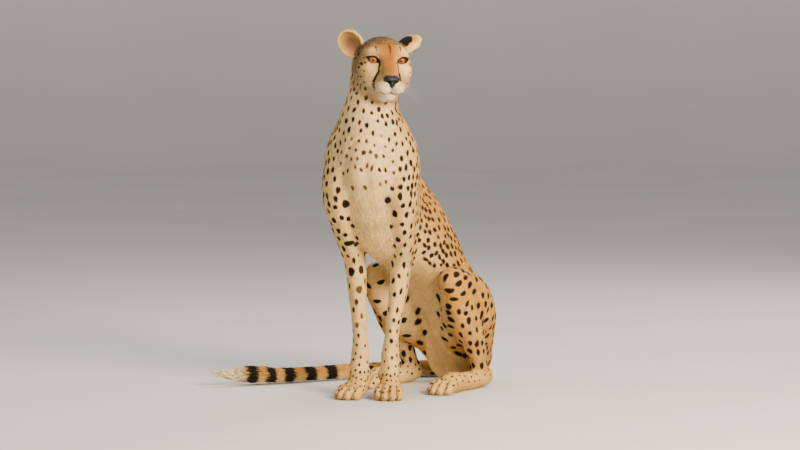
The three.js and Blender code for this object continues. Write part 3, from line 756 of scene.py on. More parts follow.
def refine(points, triangles, wanted):
    """Splits every edge that is longer than wanted at its middle."""
    edges, number = edges_of(triangles)
    ends = points[edges]
    middle = ends.mean(1)
    split = np.linalg.norm(ends[:, 0] - ends[:, 1], axis=1) > wanted(middle) * 1.4
    fresh = np.full(len(edges), -1)
    fresh[split] = len(points) + np.arange(split.sum())
    points = np.concatenate([points, middle[split]])
    m = fresh[number]
    marks = (m >= 0).sum(1)
    kept = [triangles[marks == 0]]
    for turn in range(3):
        order = [turn, (turn + 1) % 3, (turn + 2) % 3]
        t, e = triangles[:, order], m[:, order]
        one = (marks == 1) & (e[:, 0] >= 0)
        a, b, c, ab = t[one, 0], t[one, 1], t[one, 2], e[one, 0]
        kept += [np.stack([a, ab, c], 1), np.stack([ab, b, c], 1)]
        two = (marks == 2) & (e[:, 2] < 0)
        a, b, c, ab, bc = t[two, 0], t[two, 1], t[two, 2], e[two, 0], e[two, 1]
        kept += [np.stack([ab, b, bc], 1), np.stack([a, ab, bc], 1), np.stack([a, bc, c], 1)]
    three = marks == 3
    (a, b, c), (ab, bc, ca) = triangles[three].T, m[three].T
    kept += [np.stack(t, 1) for t in ((a, ab, ca), (ab, b, bc), (ca, bc, c), (ab, bc, ca))]
    return points, np.concatenate(kept)


def relax(points, triangles, rounds, weight):
    """Moves each point towards the middle of its neighbours, by its weight."""
    edges, _ = edges_of(triangles)
    a, b = edges.T
    n = len(points)
    degree = np.bincount(a, minlength=n) + np.bincount(b, minlength=n)
    for _ in range(rounds):
        mean = np.stack([
            np.bincount(a, points[b, k], n) + np.bincount(b, points[a, k], n) for k in range(points.shape[1])
        ], 1) / degree[:, None]
        points = points + (mean - points) * weight[:, None]
    return points


def slope_of(field, p, step=0.35):
    """The field's value and slope."""
    corners = np.array([[1, -1, -1], [-1, -1, 1], [-1, 1, -1], [1, 1, 1]], float)
    values = [field(p + corner * step) for corner in corners]
    slope = sum(v[:, None] * corner for v, corner in zip(values, corners)) / (4 * step)
    return sum(values) / 4, slope


def project(field, p, rounds, most=3.0):
    """Moves points onto the surface."""
    for _ in range(rounds):
        value, slope = slope_of(field, p)
        steepness = np.maximum((slope * slope).sum(1), 0.09)
        move = -value[:, None] * slope / steepness[:, None]
        length = np.linalg.norm(move, axis=1, keepdims=True)
        p = p + move * np.minimum(1, most / np.maximum(length, 1e-6))
    return p


def mesh_object(name, points, triangles):
    """A mesh object from points in millimetres in the modelling frame."""
    mesh = bpy.data.meshes.new(name)
    mesh.vertices.add(len(points))
    mesh.vertices.foreach_set("co", ((points + SHIFT) / 1000).astype(np.float32).ravel())
    mesh.loops.add(triangles.size)
    mesh.loops.foreach_set("vertex_index", triangles.astype(np.int32).ravel())
    mesh.polygons.add(len(triangles))
    mesh.polygons.foreach_set("loop_start", np.arange(0, triangles.size, 3, dtype=np.int32))
    mesh.polygons.foreach_set("use_smooth", np.full(len(triangles), True))
    mesh.update(calc_edges=True)
    obj = bpy.data.objects.new(name, mesh)
    bpy.context.scene.collection.objects.link(obj)
    return obj


EDGES = dict(body=8.5, feet=3.8, head=4.0, face=2.4, muzzle=1.5, lids=1.15, ears=2.9)


def wanted_edge(p):
    """How long an edge of the skin may be, by how fine the form is there."""
    edge = np.full(len(p), EDGES["body"])
    edge[p[:, 2] < 75] = EDGES["feet"]
    q = to_head(p)
    head = (p[:, 2] > HEAD_LOW) & (np.linalg.norm(q, axis=1) < 150)
    edge[head] = EDGES["head"]
    edge[head & (q[:, 1] < -45)] = EDGES["face"]
    edge[head & (q[:, 1] < -70) & (q[:, 2] < -30)] = EDGES["muzzle"]
    for side, _ in SIDES:
        out, ahead, up = eye_frame(q, side)
        edge[head & (np.hypot(out, up * 1.3) < 26) & (ahead > -6)] = EDGES["lids"]
        ear = head & (np.linalg.norm(ear_points(q, side) - [0, 0, 20], axis=1) < 55)
        edge[ear] = np.minimum(edge[ear], EDGES["ears"])
    return edge


def normals_of(points, triangles):
    """The outward direction at each vertex."""
    a, b, c = (points[triangles[:, k]] for k in range(3))
    flat = np.cross(b - a, c - a)
    total = np.stack([
        sum(np.bincount(triangles[:, k], flat[:, axis], len(points)) for k in range(3)) for axis in range(3)
    ], 1)
    return total / np.maximum(np.linalg.norm(total, axis=1, keepdims=True), 1e-9)


def unit(v):
    return v / np.maximum(np.linalg.norm(v, axis=1, keepdims=True), 1e-9)


def wave(p, scale, seed, waves=5):
    """Smooth noise of about 1 either way, with bumps of about that scale."""
    draw = np.random.default_rng(seed)
    total = 0
    for _ in range(waves):
        heading = draw.normal(size=3)
        heading *= 2 * math.pi / scale / np.linalg.norm(heading) * draw.uniform(0.7, 1.3)
        total = total + np.sin(p @ heading + draw.uniform(0, 2 * math.pi))
    return total / math.sqrt(waves)


CELL = 5.6
LOW, HIGH = (-480, -190, -8), (330, 560, 1000)
grid = sample(lambda p: skin_field(p, fat=1.6), LOW, HIGH, CELL)
points, triangles = surface_net(grid, LOW, CELL)
points = project(lambda p: skin_field(p, fat=0.8), points, 2)
for _ in range(3):
    points, triangles = refine(points, triangles, wanted_edge)
    fine = (points[:, 2] > HEAD_LOW).astype(float)
    points = relax(points, triangles, 2, 0.25 + 0.25 * fine)
    points = project(skin_field, points, 1)
points = relax(points, triangles, 6, np.where(points[:, 2] < NECK_LOW, 0.5, 0.0) * (wanted_edge(points) > 5))
points = project(skin_field, points, 1)
normals = normals_of(points, triangles)
skin = mesh_object("skin", points, triangles)

# ---------------- which part a point belongs to

# Lines from the wrist or hock to the toes, for the lie of the coat there.
paw_lines, foot_lines = {}, {}
for side, _ in SIDES:
    paw = forepaws[side]
    rows = np.array([[0, 30, FOREPAW_RISE + 8], [0, -10, 30], [0, -72, 10]], float)
    placed = rows @ paw.turn.T + paw.at
    paw_lines[side] = Limb([[*row, 24, 26] for row in placed])
    toes = [HIND_PAW["out"], HIND_PAW["forward"] + 72, 12, 16, 30]
    foot_lines[side] = Limb(hind_rows(HIND_FOOT + [toes], side))

# Rows of whiskers: height, from and to in degrees from the middle plane, how many.
WHISKER_ROWS = [(-54, 24, 44, 3), (-58, 18, 52, 4), (-63, 20, 56, 4), (-68, 26, 50, 3)]
whisker_roots = np.concatenate([
    on_muzzle(np.linspace(start, end, count), np.full(count, height))
    for height, start, end, count in WHISKER_ROWS
])

# Name, limb, whether the coat runs up (-1) or down (1) its rows, and the distance to it.
PARTS = [("trunk", trunk, -1, trunk)]
for side, name in SIDES:
    leg, paw, foot, toe = forelegs[side], forepaws[side], foot_lines[side], hind_paws[side]
    shank = shanks[side]
    PARTS += [
        (f"foreleg_{name}", leg, 1, lambda p, leg=leg: leg(p) + np.where(p[:, 2] < 70, 8, 0)),
        (f"forepaw_{name}", paw_lines[side], 1, lambda p, paw=paw: culled(p, paw.low, paw.high, paw)),
        (f"thigh_{name}", thighs[side], 1, thighs[side]),
        (f"shank_{name}", shank, 1, lambda p, shank=shank: shank(p) + np.where(p[:, 2] < 50, 8, 0)),
        (f"hind_foot_{name}", foot, 1, lambda p, foot=foot, toe=toe: np.minimum(foot(p), toe(p))),
    ]
PARTS.append(("tail", tail, 1, tail))
PART_NAMES = [part[0] for part in PARTS] + ["head", "ear_left", "ear_right"]
NUMBER = {name: i for i, name in enumerate(PART_NAMES)}
TRUNK_PART, TAIL_PART, HEAD = NUMBER["trunk"], NUMBER["tail"], NUMBER["head"]
EAR_PARTS = ((1, NUMBER["ear_left"]), (-1, NUMBER["ear_right"]))


def belonging(p):
    """The number of the part that each point lies on."""
    best = np.full(len(p), 1e3, np.float32)
    number = np.zeros(len(p), int)
    p = p.astype(np.float32)
    for i, (_, limb, _, field) in enumerate(PARTS):
        near = np.flatnonzero(((p > limb.low - 40) & (p < limb.high + 40)).all(1))
        d = field(p[near])
        nearer = d < best[near]
        best[near[nearer]] = d[nearer]
        number[near[nearer]] = i
    high = np.flatnonzero(p[:, 2] > NECK_LOW)
    q = to_head(p[high])
    d = plain_head(q)
    on_head = (d < best[high] + 1) & (p[high, 2] > HEAD_LOW)
    number[high[on_head]] = HEAD
    for side, ear in EAR_PARTS:
        e = ear_field(q, side, 0.0)
        on_ear = (e < d - 1.5) & (np.linalg.norm(q - EARS[side]["at"], axis=1) < EAR_REACH)
        number[high[on_ear]] = ear
    return number


def ear_normal(n, side):
    """Directions in an ear's own frame."""
    at = np.array(EARS[side]["at"], float)
    return ear_points(n @ HEAD_TURN + at, side)


HAIR_FROM = (0, -140, -40)  # the point ahead of the nose from which the head's hair runs back
THIGH_DROOP = 0.9  # how much the hair of the thigh turns down
HEAD_CENTRE = (0, -20, -15)  # from which the head's map is unwrapped
EAR_MAP, EAR_MAP_LOW = (90, 110), 0.15  # size of an ear's map, and its root's place there
part = belonging(points)


def vertices_of(name):
    """Which vertices of the skin lie on a part."""
    return part == NUMBER[name]


lie = np.zeros_like(points)
unwrap = np.zeros((len(points), 2))
along = np.zeros(len(points))  # share of the way along the part
for i, (_, limb, sign, _) in enumerate(PARTS):
    on = np.flatnonzero(part == i)
    _, place = limb.locate(points[on].astype(np.float32))
    axis = limb.axis(place)
    lie[on] = axis * sign
    step = limb.section(place)
    t = (place - step)[:, None]
    middle = limb.at[step] * (1 - t) + limb.at[step + 1] * t
    across = limb.side[step]
    out = points[on] - middle
    angle = np.arctan2((out * across).sum(1), (out * np.cross(axis, across)).sum(1))
    along[on] = place / (len(limb.at) - 1)
    unwrap[on] = np.stack([angle / (2 * math.pi) + 0.5, along[on]], 1)
for _, name in SIDES:
    lie[vertices_of(f"thigh_{name}")] += [0, 0, -THIGH_DROOP]
head_points = to_head(points)
on = part == HEAD
q = head_points[on]
lie[on] = unit(q - np.array(HAIR_FROM)) @ HEAD_TURN.T
x, y, z = (q - np.array(HEAD_CENTRE, np.float32)).T
angle, rise = np.arctan2(x, -y), np.arctan2(z, np.hypot(x, y))
unwrap[on] = np.stack([angle / (2 * math.pi) + 0.5, rise / math.pi + 0.5], 1)
along[on] = unwrap[on][:, 1]
ear_back = np.zeros(len(points))  # 1 on the back of an ear, -1 in its cup
for side, number in EAR_PARTS:
    on = part == number
    e = ear_points(head_points[on], side)
    facing = ear_normal(normals[on], side)[:, 1]
    ear_back[on] = np.clip(facing * 3, -1, 1)
    spread = np.stack([e[:, 0] * 0.7, 0 * e[:, 0], e[:, 2] + 14], 1)
    lie[on] = unit(spread) @ EAR_TURNS[side].T @ HEAD_TURN.T
    u = np.clip(e[:, 0] / EAR_MAP[0] + 0.5, 0.02, 0.98) / 2 + np.where(facing > 0, 0.5, 0)
    unwrap[on] = np.stack([u, np.clip(e[:, 2] / EAR_MAP[1] + EAR_MAP_LOW, 0.01, 0.99)], 1)
    along[on] = unwrap[on][:, 1]
lie = relax(unit(lie), triangles, 14, np.full(len(points), 0.6))
lie = lie - (lie * normals).sum(1, keepdims=True) * normals
standing = (np.linalg.norm(lie, axis=1) < 0.5) & (part == TAIL_PART)  # where the tail ends
lie = unit(lie)

# ---------------- colours of the coat


def tint(red, green, blue):
    """A picture's colour, from 0 to 255, as linear light."""
    c = np.array([red, green, blue]) / 255
    return np.where(c > 0.04045, ((c + 0.055) / 1.055) ** 2.4, c / 12.92)


TAWNY, BACK, GOLD = tint(202, 146, 64), tint(174, 122, 54), tint(168, 102, 32)
CREAM, WHITE, GREY = tint(243, 203, 130), tint(250, 229, 184), tint(98, 76, 50)
CHEEK, EAR_SKIN_AND_SHADE, EAR_EDGE = tint(186, 158, 114), tint(140, 96, 70), tint(206, 156, 86)


def mix(a, b, share):
    """Two colours mixed by each point's share of the second."""
    share = np.clip(share, 0, 1)[:, None]
    return a * (1 - share) + b * share


def near_line(p, line, width):
    """1 on a line of points, fading to 0 over the width."""
    d, place = to_line(p, np.array(line, float))
    wide = np.interp(place, np.linspace(0, 1, len(width)), width)
    return np.exp(-((d / wide) ** 2))


def spine_side(p, n):
    """How far the skin faces the belly's side of the trunk: 1 below, -1 on the back."""
    _, place = trunk.locate(p.astype(np.float32))
    below = np.cross(trunk.axis(place), trunk.side[trunk.section(place)])
    below *= np.sign(-below[:, 1:2] - 0.3 * below[:, 2:])
    return (n * below).sum(1)


belly = spine_side(points, normals)
inward = np.zeros(len(points))  # how far the skin of a leg faces the other leg
pale = ramp(belly, -0.15, 0.62)
# How pale the foreleg is outside, by height, and the forepaw and the palest inside of a leg are.
FORELEG_PALE, FOREPAW_PALE, PALEST = ([380, 560], [0.42, 0.12]), 0.5, 0.95
# A hind leg's limbs: how pale each is outside, and how far it faces inward where it is palest.
HIND_PALE = (("thigh", 0.06, 0.55), ("shank", 0.22, 0.6), ("hind_foot", 0.5, 0.8))
for side, name in SIDES:
    on = vertices_of(f"foreleg_{name}")
    inward[on] = normals[on] @ np.array([-side, 0, 0])
    facing = np.maximum(inward[on], -normals[on][:, 1])
    low = np.interp(points[on][:, 2], *FORELEG_PALE)
    pale[on] = low + (1 - low) * ramp(facing, -0.1, 0.75)
    pale[vertices_of(f"forepaw_{name}")] = FOREPAW_PALE
    for limb, outer, reach in HIND_PALE:
        on = vertices_of(f"{limb}_{name}")
        inward[on] = normals[on] @ (-side * PELVIS_LEFT)
        pale[on] = outer + (PALEST - outer) * ramp(inward[on], -0.1, reach)
on = part == TAIL_PART
pale[on] = 0.1 + 0.75 * ramp(-normals[on][:, 2], -0.1, 0.7)
trunk_on = part == TRUNK_PART
tone = mix(TAWNY, CREAM, pale)
tone = mix(tone, BACK, 0.7 * ramp(-belly, 0.35, 0.95) * trunk_on)
tone = mix(tone, WHITE, 0.3 * (ramp(belly, 0.3, 0.8) * trunk_on * ramp(points[:, 2], 420, 700)))
tone = mix(tone, WHITE, ramp(along, 0.9, 0.94) * (part == TAIL_PART))

# Colours of the face over each other, on both sides: colour, centre, radii, how much.
# Greyed in: the crown's darker hair, and a patch under each ear that is partly dark hair and partly painted
# shade under the ear
DARK_CROWN_AND_EAR_SHADE = ((0, -12, 60), (74, 50, 36), 1.0), ((62, 12, 6), (32, 44, 42), 0.55)
FACE_UNDER = [
    (CHEEK, (58, -34, -48), (30, 44, 34), 0.9),
    (CREAM, (46, -66, -14), (22, 22, 20), 1.1),
    (CREAM, (43, -64, 30), (17, 18, 10), 1.1),
]
BRIDGE_LINE, BRIDGE_HALF = [(0, -116, -26), (0, -84, 10), (0, -66, 40)], [15, 19, 27]
FACE_OVER = [
    (WHITE, (14, -106, -64), (26, 28, 20), 1.3),
    (WHITE, (0, -88, -92), (30, 34, 18), 1.3),
    (CREAM, (30, -88, -52), (12, 22, 22), 0.8),
]
HEAD_SPAN, HEAD_UNDER = 175, -110  # the face's colours end within this of its middle, and above this height
on = np.flatnonzero((part >= HEAD) | (head_points[:, 2] > HEAD_UNDER))
on = on[np.linalg.norm(head_points[on], axis=1) < HEAD_SPAN]
q = head_points[on].astype(float)
m = mirrored(q)
whole = ramp(plain_head(q.astype(np.float32)), 16, 4)
face = mix(CHEEK, TAWNY, np.full(len(on), 0.5))
face = mix(face, GREY, sum(swell(m, *form) for form in DARK_CROWN_AND_EAR_SHADE))
for colour, *form in FACE_UNDER:
    face = mix(face, colour, swell(m, *form))
face = mix(face, GOLD, 1.15 * near_line(m, BRIDGE_LINE, BRIDGE_HALF))
for colour, *form in FACE_OVER:
    face = mix(face, colour, swell(m, *form))
tone[on] = tone[on] * (1 - whole[:, None]) + face * whole[:, None]
for side, number in EAR_PARTS:
    on = part == number
    e = ear_points(head_points[on], side)
    to_rim = np.hypot(e[:, 0] / EAR_WIDE, (e[:, 2] - 20) / EAR_TALL)
    # The cup's middle is darker: partly its bare skin, partly painted shade in its depth
    cup = mix(EAR_EDGE, EAR_SKIN_AND_SHADE, 1.2 * swell(e, (0, 0, 18), (19, 60, 24), 1))
    cup = mix(cup, CREAM, 0.75 * ramp(to_rim, 0.72, 0.95))
    back = mix(EAR_EDGE, CREAM, ramp(to_rim, 0.7, 0.95))
    tone[on] = np.where(ear_back[on][:, None] > 0, back, cup)
tone *= (1 + 0.05 * wave(points, 120, 11) + 0.05 * wave(points, 34, 12))[:, None]

# ---------------- spots, stripes and rings

# Bold spots that the photo shows: place, half length, half width, darkness.
BOLD_SPOTS = [
    [(-59, -100, 511), 13, 10.5, 1], [(52, -107, 522), 10.5, 9, 1], [(68, -92, 486), 11, 8, 1],
    [(-71, -87, 474), 9, 6, 1], [(-60, -34, 404), 9.5, 14, 1], [(-43, -19, 400), 8, 9, 0.9],
    [(-67, -9, 369), 6, 5, 1], [(-42, 2, 371), 5, 4, 0.8], [(-62, 4, 327), 12, 10.5, 1],
    [(-33, 14, 332), 11, 10, 0.95], [(-38, 0, 281), 11, 9, 0.8], [(-45, -6, 249), 9.5, 5, 0.9],
    [(-53, -5, 228), 7.5, 5, 0.9], [(-32, -6, 212), 9, 4.5, 0.75], [(-43, -12, 189), 8, 5, 0.7],
    [(-53, -7, 149), 7, 3.4, 0.9], [(56, -6, 370), 8, 4.5, 0.8], [(73, -15, 376), 8, 4.2, 1],
    [(77, 9, 346), 11, 5.4, 1], [(65, 4, 317), 8, 4.6, 1], [(49, 7, 304), 10, 6, 1],
    [(71, 2, 278), 10, 4.8, 1], [(54, -3, 269), 7.5, 5.4, 1], [(39, 0, 231), 7.5, 5.4, 0.6],
    [(62, -6, 229), 8.5, 4.4, 1], [(54, -11, 203), 6.5, 5.4, 0.9], [(61, -6, 174), 6.5, 3.8, 1],
    [(48, -17, 149), 7.5, 5, 1], [(51, -24, 106), 5.5, 4.4, 1], [(-4, -130, 555), 7.5, 5.4, 0.8],
    [(-37, -125, 554), 7.5, 6, 0.8], [(15, -139, 604), 8.5, 4.6, 0.82], [(3, -138, 611), 7.5, 4.2, 0.8],
    [(-28, -138, 608), 6, 4.2, 0.8], [(-6, -140, 645), 7.5, 6.5, 0.9], [(26, -137, 636), 7.5, 5, 0.8],
    [(49, -121, 569), 6.5, 5, 0.9], [(35, -129, 564), 7, 4.4, 0.7],
]
# Spots of the cheek, in the head's frame: place, half length, half width.
CHEEK_SPOTS = [
    [(64, -51, -3), 8, 4.2], [(69, -42, -12), 6, 4], [(71, -31, -26), 6, 3.6], [(71, -15, -41), 5.5, 3.6],
    [(72, -8, -53), 5.5, 3.6], [(59, -64, -21), 3.6, 2.2], [(67, -28, -57), 5, 3.2], [(57, -60, 0), 5, 2.4],
    [(62, -48, -34), 4.5, 2.8], [(56, -52, -50), 4, 2.6], [(64, -36, -66), 4.2, 3], [(70, -8, 22), 9, 5],
    [(73, -22, 2), 6, 3.6], [(74, -6, -12), 6, 3.6],
]
# Dark lines of the face, in the head's frame and on both sides: points, and half widths along them.
TEAR_LINE = [(24.5, -74, 8), (24, -81, -4), (26, -82, -19), (31, -74, -33), (35, -67, -46), (34.5, -65, -59),
             (33, -66, -68)]
FACE_STRIPES = [
    [TEAR_LINE, [4.6, 3.4, 2.9, 3.2, 3.9, 3.8, 2.8]],
    [[(52, -64, 14), (60, -52, 13), (66, -42, 8)], [1.8, 1.2, 0.8]],
    [[(32, -62, 44), (32, -73, 32)], [2.4, 1.6]],
    [[(18, -60, 49), (26, -56, 51)], [1.8, 1.8]],
    [[(47, -48, 44), (56, -36, 42)], [1.6, 1.6]],
]
CENTRE_STRIPE = [(3, -60, 48), (4, -70, 41), (3, -83, 21)], [2.6, 2.4, 1.0]
LID_RIMS_AND_BROW_SHADOW = 4.0, 2.0  # how far the dark rim reaches past the upper and the lower lid; the wider upper rim is partly painted shadow of the brow
MOUTH_MARK = [0, 0.25, 0.4, 0.5], [2.3, 2.4, 2.3, 0.6]  # shares of the line from its middle, half widths
CLEFT_MARK, NOSE_MARK, WHISKER_MARK = 1.4, 0.6, 1.3
RINGS_FROM, RINGS_TO, RING_STEP, RING_HALF, TAIL_LONG = 0.60, 0.915, 52, 14, tail.along[-1]
NO_MARK = 20  # a distance at which no marking shows
EAR_PATCH = dict(at=17, wide=23, tall=22)  # the back of an ear is dark here: height, half width, half height
EAR_SHELL = 1.6  # the back of an ear is within this of its outer form

# Spots by height, on the trunk and on the forelegs: heights, then spacing, half length and half width there.
TRUNK_SPOTS = [420, 600, 720, 830], ([18.8, 17, 16.4, 15], [10.2, 8.5, 8.0, 6.8], [6.4, 5.7, 5.4, 4.8])
FORELEG_SPOTS = [120, 240, 420, 520], ([15, 24, 22.5, 19.5], [5.2, 8.2, 9, 9], [3.6, 5, 6.2, 6.4])
# The same for parts that have one kind of spot.
PART_SPOTS = {
    "forepaw": (11.5, 4.2, 3.0),
    "thigh": (27, 12.5, 8.2),
    "shank": (22, 10, 6.6),
    "hind_foot": (16, 4.8, 3.2),
}
TAIL_SPOTS, SIDE_FACE_SPOTS, CROWN_SPOTS = (22, 9.5, 6.6), (9.5, 4.0, 2.6), (5.4, 3.2, 2.0)
INNER_THIGH_STEP, NAPE_STEP = 38, 11.5  # spacings there
CHEST_LOW, CHEST_GAP, CHEST_LONG = 590, 1.15, 0.92  # height, and factors of spacing and half length over it
BREAST_LOW, BREAST_HIGH, BREAST_SIZE, BREAST_DARK = 560, 690, 0.82, 0.86
BELLY_HIGH = 480
UNDERSIDE = dict(chest=0.5, breast=0.78, ribs=0.45, belly=0.62)  # each begins at this much of belly
FORELEG_INSIDE, THIGH_INSIDE, INSIDE_GAP = 0.35, 0.2, 1.5
SOLES = {"forepaw": (0.1, 22), "hind_foot": (0, 16)}  # no spots where a face points up less, or lower down
CROWN_LOW, SIDE_FACE_FRONT, NAPE_FRONT = 36, -40, 30  # in the head's frame, as the next two
BARE_BROW, BARE_CHIN = (-52, 50), (-50, -112)  # no spots ahead of the first, and under or over the second


def spot_plan(p, n, number, face, belly, inward, along):
    """Spacing, half length, half width and darkness of the spots at each point. No spacing, no spots."""
    z = p[:, 2]
    plan = np.stack([np.interp(z, TRUNK_SPOTS[0], run) for run in TRUNK_SPOTS[1]])
    spacing, long, wide = plan
    dark = np.ones(len(p))
    trunk_on = number == TRUNK_PART
    front = trunk_on & (belly > UNDERSIDE["chest"]) & (z > CHEST_LOW)
    spacing[front] *= CHEST_GAP
    long[front] *= CHEST_LONG
    middle = trunk_on & (belly > UNDERSIDE["breast"]) & (z > BREAST_LOW) & (z < BREAST_HIGH)
    dark[middle] = BREAST_DARK
    plan[1:, middle] *= BREAST_SIZE
    spacing[trunk_on & (belly > UNDERSIDE["ribs"]) & (z < CHEST_LOW) & (z > BELLY_HIGH)] = 0
    spacing[trunk_on & (belly > UNDERSIDE["belly"]) & (z <= BELLY_HIGH)] = 0
    for _, name in SIDES:
        on = number == NUMBER[f"foreleg_{name}"]
        plan[:, on] = [np.interp(z[on], FORELEG_SPOTS[0], run) for run in FORELEG_SPOTS[1]]
        spacing[on & (inward > FORELEG_INSIDE)] *= INSIDE_GAP
        for limb, spots_there in PART_SPOTS.items():
            plan[:, number == NUMBER[f"{limb}_{name}"]] = np.array(spots_there)[:, None]
        spacing[(number == NUMBER[f"thigh_{name}"]) & (inward > THIGH_INSIDE)] = INNER_THIGH_STEP
        for foot, (least_up, lowest) in SOLES.items():
            spacing[(number == NUMBER[f"{foot}_{name}"]) & ((n[:, 2] < least_up) | (z < lowest))] = 0
    on = number == TAIL_PART
    plan[:, on] = np.array(TAIL_SPOTS)[:, None]
    spacing[on & (along > RINGS_FROM - 0.02)] = 0
    on = number == HEAD
    back, up = face[:, 1], face[:, 2]
    crown = on & (up > CROWN_LOW)
    spacing[on] = 0
    plan[:, on & (back > SIDE_FACE_FRONT) & (up <= CROWN_LOW)] = np.array(SIDE_FACE_SPOTS)[:, None]
    plan[:, crown] = np.array(CROWN_SPOTS)[:, None]
    spacing[crown & (back < BARE_BROW[0]) & (up < BARE_BROW[1])] = 0
    spacing[on & (back > NAPE_FRONT)] = NAPE_STEP
    spacing[number > HEAD] = 0
    spacing[(back < BARE_CHIN[0]) & (up > BARE_CHIN[1]) & trunk_on] = 0
    return spacing, long, wide, dark


def areas():
    """The area of each triangle of the skin."""
    a, b, c = (points[triangles[:, k]] for k in range(3))
    return np.linalg.norm(np.cross(b - a, c - a), axis=1) / 2


def shares_of(count, draw):
    """Random places inside triangles, as shares of the corners."""
    s = np.sqrt(draw.random(count))
    t = draw.random(count)
    return np.stack([1 - s, s * (1 - t), s * t], 1)


def blend_at(values, triangle, shares):
    """A vertex property at points inside triangles."""
    return sum(values[triangles[triangle, k]] * (shares[:, k] if values.ndim == 1 else shares[:, k, None])
               for k in range(3))


SPOT_SEED, SPOT_TRIES, MOST_SPOTS = 7, 64000, 4000
HEAD_TRIES = 9  # how much more often a place on the head is tried
SPOT_VARIES, SPOT_SWING = (0.8, 1.18), 8  # factors of size, and degrees from the lie of the hair
SPOT_STRETCH = 0.5  # how much nearer spots may be across the lie than along it
HAND_GAP = 2.5  # the spacing round a listed spot, in its half lengths
FILLING = [0, 0.3, 0.5, 0.8], [1.15, 1.05, 0.95, 0.88]  # share of the tries, and how wide the gaps must be
CLOSEST = 0.9  # the least gap, as a share of the spacing


def place_spots():
    """All spots: centre, lie, half length, half width, darkness, and a random turn of the outline."""
    draw = np.random.default_rng(SPOT_SEED)
    weight = areas() * np.where(part[triangles[:, 0]] == HEAD, HEAD_TRIES, 1)
    triangle = draw.choice(len(triangles), SPOT_TRIES, p=weight / weight.sum())
    shares = shares_of(len(triangle), draw)
    p = blend_at(points, triangle, shares)
    n = unit(blend_at(normals, triangle, shares))
    number = part[triangles[triangle, 0]]
    runs = (blend_at(values, triangle, shares) for values in (belly, inward, along))
    spacing, long, wide, dark = spot_plan(p, n, number, to_head(p), *runs)
    set_by_hand = [[centre, a, b, shade] for centre, a, b, shade in BOLD_SPOTS]
    for side, _ in SIDES:
        set_by_hand += [[from_head((side * x, y, z)), a, b, 1] for (x, y, z), a, b in CHEEK_SPOTS]
    hand = np.array([centre for centre, *_ in set_by_hand], float)
    centres = np.zeros((MOST_SPOTS, 3))
    gaps = np.zeros(MOST_SPOTS)
    centres[:len(hand)] = hand
    gaps[:len(hand)] = [a * HAND_GAP for _, a, _, _ in set_by_hand]
    count = len(hand)
    chosen = []
    grain = unit(blend_at(lie, triangle, shares))
    for i in np.flatnonzero(spacing > 0):
        tight = np.interp(i / SPOT_TRIES, *FILLING)
        offset = centres[:count] - p[i]
        away = np.sqrt((offset * offset).sum(1) - SPOT_STRETCH * (offset @ grain[i]) ** 2)
        if (away > (gaps[:count] + spacing[i]) / 2 * tight * CLOSEST).all():
            centres[count] = p[i]
            gaps[count] = spacing[i]
            count += 1
            chosen.append(i)
    vary = lambda: draw.uniform(*SPOT_VARIES, len(chosen))
    rows = np.stack([long[chosen] * vary(), wide[chosen] * vary(), dark[chosen]], 1)
    rows = np.concatenate([np.array([row[1:] for row in set_by_hand], float), rows])
    nearest = [np.argmin(((points - c) ** 2).sum(1)) for c in hand]
    axis = np.concatenate([lie[nearest], unit(blend_at(lie, triangle[chosen], shares[chosen]))])
    n = np.concatenate([normals[nearest], n[chosen]])
    swing = np.radians(draw.normal(0, SPOT_SWING, count))[:, None]
    axis = axis * np.cos(swing) + np.cross(n, axis) * np.sin(swing)
    return centres[:count], axis, n, rows, draw.uniform(0, 2 * math.pi, (count, 2))


spots = place_spots()


def face_marks(q, d):
    """Adds the marks of the front of the head, the eyes, the nose and the mouth to the distances."""
    m = mirrored(q)
    for points_of, (line, halves) in [(m, stripe) for stripe in FACE_STRIPES] + [(q, CENTRE_STRIPE)]:
        away, place = to_line(points_of, np.array(line, float))
        d = np.minimum(d, away - np.interp(place, np.linspace(0, 1, len(halves)), halves))
    for side, _ in SIDES:
        out, ahead, up = eye_frame(q, side)
        # The dark rims round the lids; the wider upper one is partly painted shadow of the brow
        rim = opening(out, up) - np.where(up > 0, *LID_RIMS_AND_BROW_SHADOW)
        d = np.where(ahead > 2, np.minimum(d, rim), d)
    away, place = to_line(q, mouth_line)
    d = np.minimum(d, away - np.interp(np.abs(place - 0.5), *MOUTH_MARK))
    away, _ = to_line(q, cleft_line)
    d = np.minimum(d, away - CLEFT_MARK)
    d = np.minimum(d, nose_field(q) - NOSE_MARK)
    for root in whisker_roots:
        d = np.minimum(d, np.linalg.norm(m - root, axis=1) - WHISKER_MARK)
    return d


SPOT_REACH = 1.5  # a spot is looked for within so many half lengths
SPOT_UNEVEN = 0.07, 0.06  # how far its outline swells and sinks, in two waves and in three
RING_SWERVE = 2  # how far the rings waver along the tail
MUZZLE_BACK = -20  # the face's marks lie ahead of this, in the head's frame


